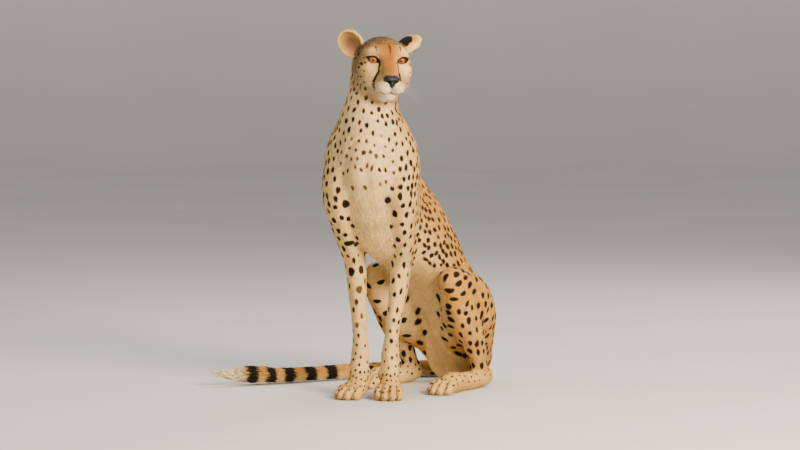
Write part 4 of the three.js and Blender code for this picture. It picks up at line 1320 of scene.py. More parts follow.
def marks_at(p, number, along):
    """The distance to the nearest dark marking's edge, negative inside it, and how dark that marking is."""
    distance = np.full(len(p), float(NO_MARK))
    dark = np.ones(len(p))
    order = np.argsort(p[:, 2])
    heights = p[order, 2]
    for centre, axis, normal, (long, wide, shade), turns in zip(*spots):
        reach = long * SPOT_REACH
        first, last = np.searchsorted(heights, [centre[2] - reach, centre[2] + reach])
        near = order[first:last]
        q = p[near] - centre
        near = near[(np.abs(q) < reach).all(1)]
        q = p[near] - centre
        a = q @ axis / long
        b = q @ np.cross(normal, axis) / wide
        angle = np.arctan2(b, a)
        edge = 1 + SPOT_UNEVEN[0] * np.sin(2 * angle + turns[0])
        edge += SPOT_UNEVEN[1] * np.sin(3 * angle + turns[1])
        d = (np.hypot(a, b) - edge) * wide
        nearer = d < distance[near]
        distance[near[nearer]] = d[nearer]
        dark[near[nearer]] = shade
    on = np.flatnonzero(number == TAIL_PART)
    run = (along[on] - RINGS_FROM) * TAIL_LONG
    ring = np.abs((run + wave(p[on], 60, 3) * RING_SWERVE) % RING_STEP - RING_STEP / 2) - RING_HALF
    ring = np.where((run > 0) & (along[on] < RINGS_TO), ring, NO_MARK)
    distance[on] = np.minimum(distance[on], ring)
    on = np.flatnonzero(number == HEAD)
    q = to_head(p[on])
    front = q[:, 1] < MUZZLE_BACK
    on, q = on[front], q[front]
    distance[on] = face_marks(q, distance[on])
    for side, ear in EAR_PARTS:
        on = np.flatnonzero(number == ear)
        e = ear_points(to_head(p[on]), side)
        patch = np.hypot(e[:, 0] / EAR_PATCH["wide"], (e[:, 2] - EAR_PATCH["at"]) / EAR_PATCH["tall"])
        patch = np.where((e[:, 1] > 0) & (ear_outside(e) > -EAR_SHELL), (patch - 1) * 20, NO_MARK)
        distance[on] = patch + wave(p[on], 14, 5)
    return distance, dark


def paint(obj, **layers):
    """Stores values for each vertex, which the materials read. A colour has three columns."""
    for name, values in layers.items():
        kind = "FLOAT_COLOR" if values.ndim == 2 else "FLOAT"
        layer = obj.data.attributes.new(name, kind, "POINT")
        if values.ndim == 2:
            values = np.concatenate([values, np.ones((len(values), 1))], 1)
            layer.data.foreach_set("color", values.astype(np.float32).ravel())
        else:
            layer.data.foreach_set("value", values.astype(np.float32))


mark, dark = marks_at(points, part, along)
paint(skin, tone=tone, mark=mark, dark=dark)

# ---------------- materials


def material(name, roughness, specular=0.3, **constants):
    """A new material, its node tree and its shader. Constants go on the shader's own sockets."""
    made = bpy.data.materials.new(name)
    made.use_nodes = True
    tree = made.node_tree
    shader = tree.nodes["Principled BSDF"]
    shader.inputs["Roughness"].default_value = roughness
    shader.inputs["Specular IOR Level"].default_value = specular
    for socket, value in constants.items():
        shader.inputs[socket.replace("_", " ")].default_value = value
    return made, tree, shader


def node(tree, kind, inputs=(), **settings):
    """A node with its settings, and its inputs as values or as another node's output."""
    made = tree.nodes.new(kind)
    for name, value in settings.items():
        setattr(made, name, value)
    for socket, value in dict(inputs).items():
        if isinstance(value, bpy.types.NodeSocket):
            tree.links.new(value, made.inputs[socket])
        else:
            made.inputs[socket].default_value = value
    return made


def attribute(tree, name, output="Fac"):
    return node(tree, "ShaderNodeAttribute", attribute_name=name).outputs[output]


def maths(tree, operation, a, b=0.0):
    return node(tree, "ShaderNodeMath", {0: a, 1: b}, operation=operation).outputs[0]


def noise(tree, scale, detail=3.0, vector=None):
    inputs = {"Scale": scale, "Detail": detail}
    if vector is None:
        vector = node(tree, "ShaderNodeTexCoord").outputs["Object"]
    return node(tree, "ShaderNodeTexNoise", {**inputs, "Vector": vector}).outputs["Fac"]


def span(tree, value, low, high, to_low=0.0, to_high=1.0):
    inputs = {"Value": value, "From Min": low, "From Max": high, "To Min": to_low, "To Max": to_high}
    return node(tree, "ShaderNodeMapRange", inputs).outputs["Result"]


def blend(tree, share, a, b, mode="MIX"):
    inputs = {0: share, 6: a, 7: b}
    return node(tree, "ShaderNodeMix", inputs, data_type="RGBA", blend_type=mode).outputs[2]


def wear(tree, shader, colour, height=None, strength=0.0, depth=0.0):
    """Gives the shader its colour, and a bump where there is a height for one."""
    tree.links.new(colour, shader.inputs["Base Color"])
    if height is not None:
        bump = node(tree, "ShaderNodeBump", {"Height": height, "Strength": strength, "Distance": depth})
        tree.links.new(bump.outputs[0], shader.inputs["Normal"])


SPOT_BLACK, SPOT_BROWN = (0.014, 0.010, 0.008, 1), (0.10, 0.045, 0.018, 1)
SPOT_FAINT = (0.105, 0.042, 0.014, 1)


def coat_material(name, tufts):
    """Tone with a fine grain, under spots with a ragged edge. Tufts also vary one by one."""
    made, tree, shader = material(name, 0.70, 0.12, Sheen_Weight=0.03, Sheen_Roughness=0.45)
    tone_here = attribute(tree, "tone", "Color")
    grain = noise(tree, 900, 4.0)
    light = span(tree, grain, 0.25, 0.75, 0.86, 1.12)
    if tufts:
        light = maths(tree, "MULTIPLY", light, span(tree, attribute(tree, "shade"), -1, 1, 0.80, 1.18))
        # Roots darker than tips: partly the hair's own banding, partly painted shade down among the tufts
        light = maths(tree, "MULTIPLY", light, span(tree, attribute(tree, "tip"), 0, 1, 0.86, 1.08))
    grey = node(tree, "ShaderNodeCombineColor", {0: light, 1: light, 2: light}).outputs[0]
    fur = blend(tree, 1.0, tone_here, grey, "MULTIPLY")
    ragged = span(tree, noise(tree, 420, 2.0), 0.3, 0.7, -0.7, 0.7)
    edge = maths(tree, "ADD", attribute(tree, "mark"), ragged)
    spot = span(tree, edge, 0.7, -0.7)
    spot = maths(tree, "MULTIPLY", spot, span(tree, attribute(tree, "dark"), 0.3, 1.0, 0.74, 1.0))
    black = blend(tree, span(tree, edge, -2.2, 0.2), SPOT_BLACK, SPOT_BROWN)
    black = blend(tree, span(tree, attribute(tree, "dark"), 0.95, 0.6), black, SPOT_FAINT)
    wear(tree, shader, blend(tree, spot, fur, black), None if tufts else grain, 0.6, 0.0012)
    return made


skin.data.materials.append(coat_material("skin", False))
FLESH = ["head", "ear_left", "ear_right", "neck", "chest", "loin"] + [
    f"{limb}_{side}" for limb in ("upper_foreleg", "forearm", "forepaw", "thigh", "shank", "hind_foot")
    for side in ("left", "right")
] + [f"tail_{i}" for i in range(1, 6)]
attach(skin, "root")
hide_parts(*FLESH)

# ---------------- the coat


FUR, FUR_LIFT = 11.0, 0.15
PART_FUR = {"forepaw": 5.0, "thigh": 12.0, "shank": 9.0, "hind_foot": 5.8}
FORELEG_FUR = [100, 300, 560], [6.0, 8.0, 10.5]  # heights, lengths
TAIL_FUR = [0, 0.4, 0.8, 0.88, 1], [12, 11, 14, 26, 40]  # shares of the way along, lengths
TAIL_LIFT = [0, 0.8, 0.9, 1], [0.15, 0.18, 0.26, 0.3]
FACE_FUR = [-100, -60, -20, 30], [3.0, 4.4, 7.0, 9.0]  # places from front to back, lengths
RUFF, CHIN_TUFT = ((66, -6, -50), (22, 30, 28)), ((0, -84, -100), (30, 30, 14))  # centre, radii
RUFF_FUR, CHIN_FUR, RUFF_LIFT = 6, 3, 0.03  # added there
EAR_FUR = 5.0, 6.0  # on the back and in the cup
EAR_FRINGE, FRINGE_RADII, FRINGE_FUR = (-20, 0, 10), (15, 60, 20), 7
BELLY_FUR, MANE_FUR = 5, 6  # added under the belly and along the back of the neck


def coat_lengths():
    """How long the fur is at each vertex, in millimetres, and how far it stands off, as a share of that."""
    z = points[:, 2]
    length = np.full(len(points), FUR)
    lift = np.full(len(points), FUR_LIFT)
    length += trunk_on * BELLY_FUR * ramp(belly, 0.4, 0.9) * ramp(z, 560, 460) * ramp(z, 330, 400)
    length += trunk_on * MANE_FUR * ramp(-belly, 0.75, 1.0) * ramp(z, 600, 740)
    for _, name in SIDES:
        on = vertices_of(f"foreleg_{name}")
        length[on] = np.interp(z[on], *FORELEG_FUR)
        for limb, fur in PART_FUR.items():
            length[vertices_of(f"{limb}_{name}")] = fur
    on = part == TAIL_PART
    length[on] = np.interp(along[on], *TAIL_FUR)
    lift[on] = np.interp(along[on], *TAIL_LIFT)
    on = part == HEAD
    m = mirrored(head_points[on])
    length[on] = np.interp(m[:, 1], *FACE_FUR) + (swell(m, *RUFF, RUFF_FUR) + swell(m, *CHIN_TUFT, CHIN_FUR))
    lift[on] = FUR_LIFT + swell(m, *RUFF, RUFF_LIFT)
    on = part > HEAD
    length[on] = np.where(ear_back[on] > 0, *EAR_FUR)
    for side, number in EAR_PARTS:
        e = ear_points(head_points, side)
        inner = (part == number) & (ear_back < 0)
        fringe = swell(e, np.array(EAR_FRINGE) * [side, 1, 1], FRINGE_RADII, FRINGE_FUR)
        length[inner] += fringe[inner]
    return relax(np.stack([length, lift], 1), triangles, 5, np.full(len(points), 0.5)).T


BARE = dict(nose=0.4, eye=1.0, lips=1.5)  # how far the fur keeps away from these


def bare(q, number):
    """Where the head has no fur: the balls of the eyes, the nose's bed and the parting of the lips."""
    hidden = nose_field(q) < BARE["nose"]
    for side, _ in SIDES:
        out, ahead, up = eye_frame(q, side)
        hidden |= (opening(out, up) < BARE["eye"]) & (ahead > 0)
    away, _ = to_line(q, mouth_line)
    hidden |= away < BARE["lips"]
    return hidden & (number == HEAD)


TUFT_SEED = 21
TUFTS = 330000  # about so many, before the bare places are left out
SOLE_TURN, SOLE_HIGH = -0.8, 12  # soles, which have no tufts, point down more than this and are lower
DENSITY_FALL, CUP_DENSITY, BRUSH_DENSITY = 1.45, 0.6, 1.6  # by length, in the ears' cups, and more where long
LONG_FUR = 15.5  # fur longer than this bends
TUFT_WIDTH, WIDEST = (0.32, 0.135, 0.92), 2.1  # width = first + second * length ** third, up to the widest
LENGTH_VARIES, LIFT_VARIES = (0.78, 1.22), (0.6, 1.5)  # factors, from tuft to tuft
SWINGS = 7, 9, 6  # degrees that tufts turn aside: in wide waves, in narrow waves, and one by one
LIFT_WAVE, SHADE_WAVE = 0.3, 0.3  # how much both change in waves
LEAST_LIFT, MOST_LIFT = 0.05, 0.6  # of a tip over the skin, as shares of the length
LIFT_MEND = 6  # a tip is moved by no more than this
MARK_PLACES = 0.2, 0.8  # shares of the way to the tip where a tuft takes its marks
# How much the skin's shading counts on short fur, and the lengths between which it sets in.
EVEN_SHADE, EVEN_FUR = 0.65, (24, 15)
ROOT_DEPTH = 0.5  # a tuft starts this far under the skin
FLOOR_GAP = 0.2  # no tuft is nearer to the floor
BENT_ARCH = 0.10  # how far a long tuft bows, as a share of its length
SHADE_NOISE, MARK_NOISE = 0.45, 0.45  # spread of the tufts' shades, and of their distances to a marking
MOST = 195000  # triangles in a piece of the coat
PATCH = 0.003  # a tuft's square in the map

length, lift = coat_lengths()


def tuft_roots():
    """Where tufts stand: the triangle of each and its shares of the corners. Short fur is denser."""
    draw = np.random.default_rng(TUFT_SEED)
    long = length[triangles].mean(1)
    density = 1 / (long ** DENSITY_FALL)
    density *= np.where(ear_back[triangles].mean(1) < -0.2, CUP_DENSITY, 1.0)
    density *= 1 + BRUSH_DENSITY * ramp(long, 16, 30)
    under = (normals[triangles, 2].mean(1) < SOLE_TURN) & (points[triangles, 2].mean(1) < SOLE_HIGH)
    density[under | standing[triangles].any(1)] = 0
    expected = areas() * density
    expected *= TUFTS / expected.sum()
    count = np.floor(expected + draw.random(len(expected))).astype(int)
    triangle = np.repeat(np.arange(len(triangles)), count)
    return triangle, shares_of(len(triangle), draw), draw


triangle, shares, draw = tuft_roots()
first = triangles[triangle, 0]
number = part[first]
root = blend_at(points, triangle, shares)
keep = ~bare(to_head(root), number)
triangle, shares, first, number, root = triangle[keep], shares[keep], first[keep], number[keep], root[keep]
n = unit(blend_at(normals, triangle, shares))
heading = blend_at(lie, triangle, shares)
heading = unit(heading - (heading * n).sum(1, keepdims=True) * n)
tuft_length = blend_at(length, triangle, shares) * draw.uniform(*LENGTH_VARIES, len(root))
swing = SWINGS[0] * wave(root, 70, 31) + SWINGS[1] * wave(root, 17, 32)
swing = np.radians(swing + draw.normal(0, SWINGS[2], len(root)))[:, None]
heading = heading * np.cos(swing) + np.cross(n, heading) * np.sin(swing)
raised = blend_at(lift, triangle, shares) * draw.uniform(*LIFT_VARIES, len(root))
raised = raised * (1 + LIFT_WAVE * wave(root, 13, 33))
tuft_width = np.minimum(TUFT_WIDTH[0] + TUFT_WIDTH[1] * tuft_length ** TUFT_WIDTH[2], WIDEST)
flat = unwrap[first]
inside = blend_at(unwrap, triangle, shares)
flat = np.where(np.abs(inside - flat) < 0.2, inside, flat)
tip = root + heading * tuft_length[:, None]
tip_height = skin_field(tip)
wanted_height = np.clip(raised, LEAST_LIFT, MOST_LIFT) * tuft_length
tip += n * np.clip(wanted_height - tip_height, -LIFT_MEND, LIFT_MEND)[:, None]
run = blend_at(along, triangle, shares)
root_mark, _ = marks_at(root + (tip - root) * MARK_PLACES[0], number, run)
tip_mark, tuft_dark = marks_at(root + (tip - root) * MARK_PLACES[1], number, run)
uneven = draw.normal(0, MARK_NOISE, len(root))
tuft_tone = blend_at(tone, triangle, shares)
tuft_shade = np.clip(draw.normal(0, SHADE_NOISE, len(root)) + SHADE_WAVE * wave(root, 16, 34), -1, 1)

# The straight tuft's corners: share of the way to the tip, share of the half width, height over the line
# in widths. Then the bent tuft's. Each with its triangles and the corners' places in the patch of the map.
STRAIGHT = (
    [(0, -1, -0.15), (0, 1, -0.15), (0.25, 0, 0.32), (1, 0, 0)],
    [(0, 1, 3), (0, 3, 2), (1, 2, 3), (0, 2, 1)],
    [(0, 0), (1, 0), (0.5, 0.45), (0.5, 1)],
)
BENT = (
    [(0, -1, -0.15), (0, 1, -0.15), (0.1, 0, 0.3), (0.55, -0.75, 0), (0.55, 0.75, 0), (0.56, 0, 0.28),
     (1, 0, 0)],
    [(0, 1, 4), (0, 4, 3), (0, 3, 5), (0, 5, 2), (1, 2, 5), (1, 5, 4), (0, 2, 1), (3, 4, 6), (3, 6, 5),
     (4, 5, 6)],
    [(0, 0), (1, 0), (0.5, 0.2), (0.15, 0.55), (0.85, 0.55), (0.5, 0.65), (0.5, 1)],
)


def build_tufts(name, chosen, form, made):
    """One piece of the coat from the chosen tufts."""
    corners, faces, places = form
    k = len(corners)
    side_way = np.cross(n[chosen], heading[chosen])
    line = tip[chosen] - root[chosen]
    bow = np.cross(line, side_way)
    bow = unit(bow * np.sign((bow * n[chosen]).sum(1, keepdims=True)))
    wide = tuft_width[chosen][:, None]
    arch = tuft_length[chosen][:, None] * (BENT_ARCH if form is BENT else 0.0)
    verts = np.zeros((len(chosen), k, 3))
    for i, (share, half, rise) in enumerate(corners):
        bent = arch * 4 * share * (1 - share)
        verts[:, i] = root[chosen] + line * share + side_way * wide * (half / 2) + bow * (wide * rise + bent)
        if share == 0:
            verts[:, i] -= n[chosen] * ROOT_DEPTH
    verts[:, :, 2] = np.maximum(verts[:, :, 2], FLOOR_GAP - SHIFT[2])
    tris = (np.array(faces)[None] + (np.arange(len(chosen)) * k)[:, None, None]).reshape(-1, 3)
    obj = mesh_object(name, verts.reshape(-1, 3), tris)
    spread = lambda values: np.repeat(values, k, axis=0)
    to_tip = np.tile([share for share, _, _ in corners], len(chosen))
    mark = spread(root_mark[chosen]) * (1 - to_tip) + spread(tip_mark[chosen]) * to_tip
    paint(obj, tone=spread(tuft_tone[chosen]), mark=mark + spread(uneven[chosen]), tip=to_tip,
          dark=spread(tuft_dark[chosen]), shade=spread(tuft_shade[chosen]))
    area = flat[chosen]
    area = (area - area.min(0)) / np.maximum(np.ptp(area, axis=0), 1e-6)
    corner = (np.array(places) - 0.5) * PATCH
    uv = PATCH + (1 - 2 * PATCH) * area[:, None, :] + corner
    layer = obj.data.uv_layers.new(name="OFBake")
    layer.data.foreach_set("uv", uv.reshape(-1, 2)[tris.ravel()].astype(np.float32).ravel())
    own = np.zeros(len(verts) * k * 3, np.float32)
    obj.data.vertex_normals.foreach_get("vector", own)
    # Short tufts take most of their shading from the skin under them, so the coat looks smooth.
    even = EVEN_SHADE * spread(ramp(tuft_length[chosen], *EVEN_FUR))[:, None]
    lay = unit(even * spread(n[chosen]) + (1 - even) * own.reshape(-1, 3))
    obj.data.normals_split_custom_set_from_vertices(lay)
    obj.data.materials.append(made)
    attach(obj, "root")


coat_look = coat_material("coat", True)
for i, part_name in enumerate(PART_NAMES):
    for kind, form, bends in (("short", STRAIGHT, False), ("long", BENT, True)):
        chosen = np.flatnonzero((number == i) & ((tuft_length >= LONG_FUR) == bends))
        if len(chosen) == 0:
            continue
        chosen = chosen[np.argsort(flat[chosen, 1], kind="stable")]
        pieces = math.ceil(len(chosen) * len(form[1]) / MOST)
        for j, run in enumerate(np.array_split(chosen, pieces)):
            build_tufts(f"coat_{part_name}_{kind}_{j + 1}", run, form, coat_look)

# ---------------- eyes

IRIS, PUPIL = 10.4, 3.1  # radii
BALL, CORNEA_RISE, CORNEA_REACH = 17.3, 1.5, 42  # radius, rise, and degrees from the gaze
GAZE = (-0.09, -0.995, -0.02)  # the way that both eyes look, in the head's frame


def outward_grid(rings, spokes):
    """Triangles of a closed surface: a first point, rings of points, and a last point."""
    tris = []
    for j in range(spokes):
        k = (j + 1) % spokes
        tris.append((0, 1 + j, 1 + k))
        for i in range(rings - 1):
            a, b = 1 + i * spokes + j, 1 + i * spokes + k
            tris += [(a, a + spokes, b + spokes), (a, b + spokes, b)]
        last = 1 + (rings - 1) * spokes
        tris.append((last + j, last + spokes, last + k))
    return np.array(tris)


def eye_ball(side):
    """A ball with a cornea. Its points keep their place on the iris for the material."""
    rings, spokes = 70, 96
    slope = (np.arange(1, rings + 1) / (rings + 1)) ** 1.25 * math.pi
    turn = np.arange(spokes) / spokes * 2 * math.pi
    gaze = np.array(GAZE) / np.linalg.norm(GAZE)
    across = np.cross([0, 0, 1], gaze)
    across /= np.linalg.norm(across)
    rise = np.cross(gaze, across)
    reach = BALL + CORNEA_RISE * ramp(np.degrees(slope), CORNEA_REACH, CORNEA_REACH * 0.35)
    around = np.cos(turn)[:, None] * across + np.sin(turn)[:, None] * rise
    reach, sine, cosine = (run[:, None, None] for run in (reach, np.sin(slope), np.cos(slope)))
    ring = reach * (sine * around + cosine * gaze)
    ball = np.concatenate([[gaze * (BALL + CORNEA_RISE)], ring.reshape(-1, 3), [-gaze * BALL]])
    radius = np.linalg.norm(ball - np.outer(ball @ gaze, gaze), axis=1)
    radius = np.where(ball @ gaze > 0, radius, 40)
    ways = np.stack([np.cos(turn), np.sin(turn), 0 * turn], 1)
    spoke = np.concatenate([[[0, 0, 0]], np.tile(ways, (rings, 1)), [[0, 0, 0]]])
    centre = np.array(EYE_AT) * [side, 1, 1]
    return from_head(ball + centre), outward_grid(rings, spokes), radius, spoke


IRIS_DEEP, IRIS_AMBER, IRIS_GOLD = (0.11, 0.026, 0.004, 1), (0.42, 0.115, 0.014, 1), (0.50, 0.17, 0.022, 1)
IRIS_INNER, IRIS_RING = (0.16, 0.04, 0.008, 1), (0.012, 0.006, 0.003, 1)
PUPIL_BLACK, BALL_BROWN = (0.002, 0.002, 0.002, 1), (0.035, 0.016, 0.010, 1)


def eye_material():
    """A dark pupil, an amber iris with fibres and a dark ring, and the brown ball, under a clear coat."""
    made, tree, shader = material("eye", 0.35, 0.06, Coat_Weight=1.0, Coat_Roughness=0.02, Coat_IOR=1.30)
    radius = attribute(tree, "radius")
    spoke = attribute(tree, "spoke", "Vector")
    away = node(tree, "ShaderNodeCombineXYZ", {2: maths(tree, "MULTIPLY", radius, 0.09)}).outputs[0]
    place = node(tree, "ShaderNodeVectorMath", {0: spoke, 1: away}, operation="ADD").outputs[0]
    fibre = noise(tree, 9.0, 6.0, place)
    patch = noise(tree, 2.2, 2.0, place)
    edge = maths(tree, "ADD", radius, span(tree, fibre, 0.3, 0.7, -0.7, 0.7))
    iris = blend(tree, span(tree, fibre, 0.32, 0.70), IRIS_DEEP, IRIS_AMBER)
    iris = blend(tree, span(tree, patch, 0.4, 0.7, 0, 0.45), iris, IRIS_GOLD)
    iris = blend(tree, span(tree, edge, PUPIL + 3.0, PUPIL, 0, 0.55), iris, IRIS_INNER)
    iris = blend(tree, span(tree, edge, IRIS - 2.2, IRIS), iris, IRIS_RING)
    rough_edge = maths(tree, "ADD", radius, span(tree, fibre, 0.3, 0.7, -0.18, 0.18))
    seen = blend(tree, span(tree, rough_edge, PUPIL + 0.25, PUPIL - 0.15), iris, PUPIL_BLACK)
    seen = blend(tree, span(tree, radius, IRIS + 0.6, IRIS + 2.4), seen, BALL_BROWN)
    wear(tree, shader, seen, fibre, 0.25, 0.0003)
    return made


eye_look = eye_material()
for side, side_name in SIDES:
    name = f"eye_{side_name}"
    ball, tris, radius, spoke = eye_ball(side)
    eye = mesh_object(name + "_ball", ball, tris)
    layer = eye.data.attributes.new("spoke", "FLOAT_VECTOR", "POINT")
    layer.data.foreach_set("vector", spoke.astype(np.float32).ravel())
    paint(eye, radius=radius)
    eye.data.materials.append(eye_look)
    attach(eye, "root")
    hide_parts(name)

# ---------------- nose


# The nostril's slit, from its hole round the wing: offsets from the nose's place.
NOSTRIL_SLIT = [(8.5, -12, -1.5), (14, -9, 1.5), (18.5, -2, -0.5), (19.5, 4, -2.5)]
NOSE_DARK, NOSE_LIGHT = (0.006, 0.005, 0.005, 1), (0.020, 0.015, 0.014, 1)


def nose_pad(q):
    """The nose's pad with nostrils that curl to its sides and a groove down its middle."""
    _, y, z = NOSE_AT
    m = mirrored(q)
    hole = blob(m, (8.0, y - 10, z - 1.5), (4.4, 6.5, 3.2))
    to_slit, _ = to_line(m, np.array(NOSTRIL_SLIT) + NOSE_AT)
    hole = smooth_min(hole, to_slit - 1.5, 2)
    pad = smooth_max(nose_field(q) - 0.4, -hole, 1.6)
    wing = swell(m, (15, y - 7, z + 4.5), (5, 7, 3), 0.5) + swell(m, (9, y - 12, z - 7), (5, 6, 3), 0.5)
    groove = ridge(m, (0, y - 13, z - 20), (0, y - 12, z - 1), 1.2, 1.2)
    return pad - wing + groove


def nose_material():
    """Dark and moist, with the fine pebbles of a cat's nose."""
    made, tree, shader = material("nose", 0.46, 0.2, Coat_Weight=0.08, Coat_Roughness=0.3)
    place = node(tree, "ShaderNodeTexCoord").outputs["Object"]
    pebbles = node(tree, "ShaderNodeTexVoronoi", {"Vector": place, "Scale": 780.0}).outputs["Distance"]
    colour = blend(tree, span(tree, noise(tree, 160, 4.0), 0.35, 0.7), NOSE_DARK, NOSE_LIGHT)
    # Darker between the pebbles: painted shade in the grooves
    colour = blend(tree, span(tree, pebbles, 0.2, 0.7, 0, 0.6), colour, NOSE_DARK)
    wear(tree, shader, colour, maths(tree, "MULTIPLY", pebbles, -1.0), 0.55, 0.0005)
    return made


NOSE_CELL = 0.9
reach = np.array([27, 24, 22])
nose_low = np.array(NOSE_AT) - reach - [0, 0, 8]
nose_grid = sample(lambda q: nose_pad(q.astype(np.float32)), nose_low, np.array(NOSE_AT) + reach, NOSE_CELL)
nose_points, nose_tris = surface_net(nose_grid, nose_low, NOSE_CELL)
nose_points = project(lambda q: nose_pad(q.astype(np.float32)), nose_points, 2, 0.6)
nose_points = relax(nose_points, nose_tris, 2, np.full(len(nose_points), 0.35))
nose = mesh_object("nose_pad", from_head(nose_points), nose_tris)
nose.data.materials.append(nose_material())
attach(nose, "root")
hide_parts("nose")

# ---------------- claws and whiskers


def tube(line, radii, sides=6, flat=1.0):
    """A closed round bar along a line of points, with a radius at each. Flat narrows it sideways."""
    line = np.asarray(line, float)
    ahead = unit(np.gradient(line, axis=0))
    side_way = unit(np.cross(ahead, [0.02, 0.05, 1.0]))
    up = np.cross(side_way, ahead)
    turn = np.arange(sides) / sides * 2 * math.pi
    radii = np.asarray(radii, float)[:, None, None]
    ring = np.cos(turn)[None, :, None] * side_way[:, None] * flat + np.sin(turn)[None, :, None] * up[:, None]
    body = line[:, None] + ring * radii
    start = line[0] - ahead[0] * radii[0, 0] * 0.3
    end = line[-1] + ahead[-1] * radii[-1, 0]
    verts = np.concatenate([[start], body.reshape(-1, 3), [end]])
    return verts, outward_grid(len(line), sides)[:, ::-1]


def joined(shapes):
    """Several meshes as one."""
    verts, tris, count = [], [], 0
    for v, t in shapes:
        verts.append(v)
        tris.append(t + count)
        count += len(v)
    return np.concatenate(verts), np.concatenate(tris)


# From the claw's root in the toe to its tip, in the paw's frame, and the half height along it.
CLAW_LINE = [(0, 7, 4), (0, 1, 5.2), (0, -5, 4.2), (0, -9.5, 0.8), (0, -12, -4.2)]
CLAW_HALF = [2.6, 3.0, 2.6, 1.7, 0.45]
CLAW_SIDES, CLAW_FLAT, DEWCLAW_AT = 14, 0.62, (31, 10, 58.5)  # corners, width to height, from the paw inward
HORN_ROOT = (0.035, 0.022, 0.015, 1), (0.11, 0.075, 0.05, 1)
HORN_TIP = (0.17, 0.125, 0.085, 1), (0.34, 0.27, 0.19, 1)


def claw_material():
    """Horn: dark at the root and paler at the tip, streaked along the claw."""
    made, tree, shader = material("claw", 0.34, 0.5, Coat_Weight=0.2, Coat_Roughness=0.3)
    place = node(tree, "ShaderNodeTexCoord").outputs["Object"]
    stretched = node(tree, "ShaderNodeMapping", {"Vector": place, "Scale": (900, 160, 160)}).outputs[0]
    streak = noise(tree, 2.0, 5.0, stretched)
    root, tip = (blend(tree, span(tree, streak, 0.3, 0.7), *pair_of) for pair_of in (HORN_ROOT, HORN_TIP))
    wear(tree, shader, blend(tree, attribute(tree, "tip"), root, tip), streak, 0.4, 0.0003)
    return made


claw_look = claw_material()
claw_line = catmull(CLAW_LINE, 4)
claw_half = np.maximum(catmull([[half] for half in CLAW_HALF], 4)[:, 0], 0.35)
for paws, kind in ((forepaws, "fore"), (hind_paws, "hind")):
    for side, name in SIDES:
        paw = paws[side]
        shapes = []
        for claw in paw.claws:
            bar, tris = tube(claw_line + claw, claw_half, CLAW_SIDES, CLAW_FLAT)
            shapes.append((bar @ paw.turn.T + paw.at, tris))
        if paw.fore:
            at = paw.at + np.array(DEWCLAW_AT) * [-side, 1, 1]
            shapes.append(tube(claw_line * [1, 0.9, 0.9] + at, claw_half * 0.95, CLAW_SIDES, CLAW_FLAT))
        verts, tris = joined(shapes)
        made = mesh_object(f"{kind}_claws_{name}", verts, tris)
        share = np.concatenate([[0], np.repeat(np.linspace(0, 1, len(claw_line)), CLAW_SIDES), [1]])
        paint(made, tip=np.tile(share, len(shapes)))
        made.data.materials.append(claw_look)
        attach(made, "root")
        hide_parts(*(f"{kind}_claw_{name}_{i}" for i in range(1, len(shapes) + 1)))

BROW_HAIRS = [(38, -70, 30), (43, -68, 32), (48, -63, 31)]
WHISKER_LONG, WHISKER_THICK, BROW_LONG, BROW_THICK = (30, 54), 0.17, (16, 26), 0.16
HAIR_DARK, HAIR_PALE = (0.30, 0.24, 0.17, 1), (0.56, 0.48, 0.37, 1)


def whiskers():
    """Stiff hairs from the muzzle and brows: each starts in the skin, sweeps out and droops."""
    draw = np.random.default_rng(5)
    shapes = []

    def hair(root, way, droop, long, thick):
        t = np.linspace(0, 1, 9)[:, None]
        line = root + way * long * t + np.array(droop) * long * t * t
        radii = np.interp(t[:, 0], [0, 0.2, 1], [thick, thick * 0.9, 0.06])
        shapes.append(tube(from_head(line), radii, 5))

    for side, _ in SIDES:
        for x, y, z in whisker_roots:
            outer = (x - 10) / 22
            way = np.array([side * (0.80 + 0.15 * outer), -0.42 + 0.55 * outer, -0.10 + (z + 60) * 0.034])
            way = way / np.linalg.norm(way) + draw.normal(0, 0.05, 3)
            root = np.array([side * x, y, z]) - way * 2.5
            hair(root, way, (0, 0.22, -0.28), draw.uniform(*WHISKER_LONG), WHISKER_THICK)
        for x, y, z in BROW_HAIRS:
            way = np.array([side * 0.35, -0.75, 0.62]) + draw.normal(0, 0.06, 3)
            root = np.array([side * x, y, z], float) - way * 2
            hair(root, way, (side * 0.25, 0.35, 0.05), draw.uniform(*BROW_LONG), BROW_THICK)
    return joined(shapes)


made, tree, shader = material("whisker", 0.3, 0.5, Coat_Weight=0.1)
wear(tree, shader, blend(tree, span(tree, noise(tree, 120, 2.0), 0.35, 0.65), HAIR_DARK, HAIR_PALE))
hairs = mesh_object("whiskers", *whiskers())
hairs.data.materials.append(made)
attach(hairs, "root")

# ---------------- stage, lights, camera

MM_PER_PIXEL = 2.6
PHOTO_WIDE, PHOTO_MIDDLE = 800, (400, 225)  # pixels of the photo
ORIGIN_PIXEL = (374, 398)  # where the modelling frame's origin lies in it
CAMERA_AZIMUTH, CAMERA_ELEVATION, CAMERA_FAR = 8, 4, 9.0
SENSOR = 36  # mm


def world(point):
    """A point of the modelling frame, in the part's frame and in metres."""
    return (np.asarray(point, float) + SHIFT) / 1000


FLOOR_FLAT, FLOOR_CURVE, FLOOR_WALL = 11.0, 3.5, 0.5  # metres: radius of the flat, of the curve, and the rise
FLOOR_SPOKES = 96
FLOOR_GREY, FLOOR_PALE, WALL_PALE = (0.66, 0.64, 0.61, 1), (0.70, 0.68, 0.65, 1), (0.90, 0.88, 0.85, 1)


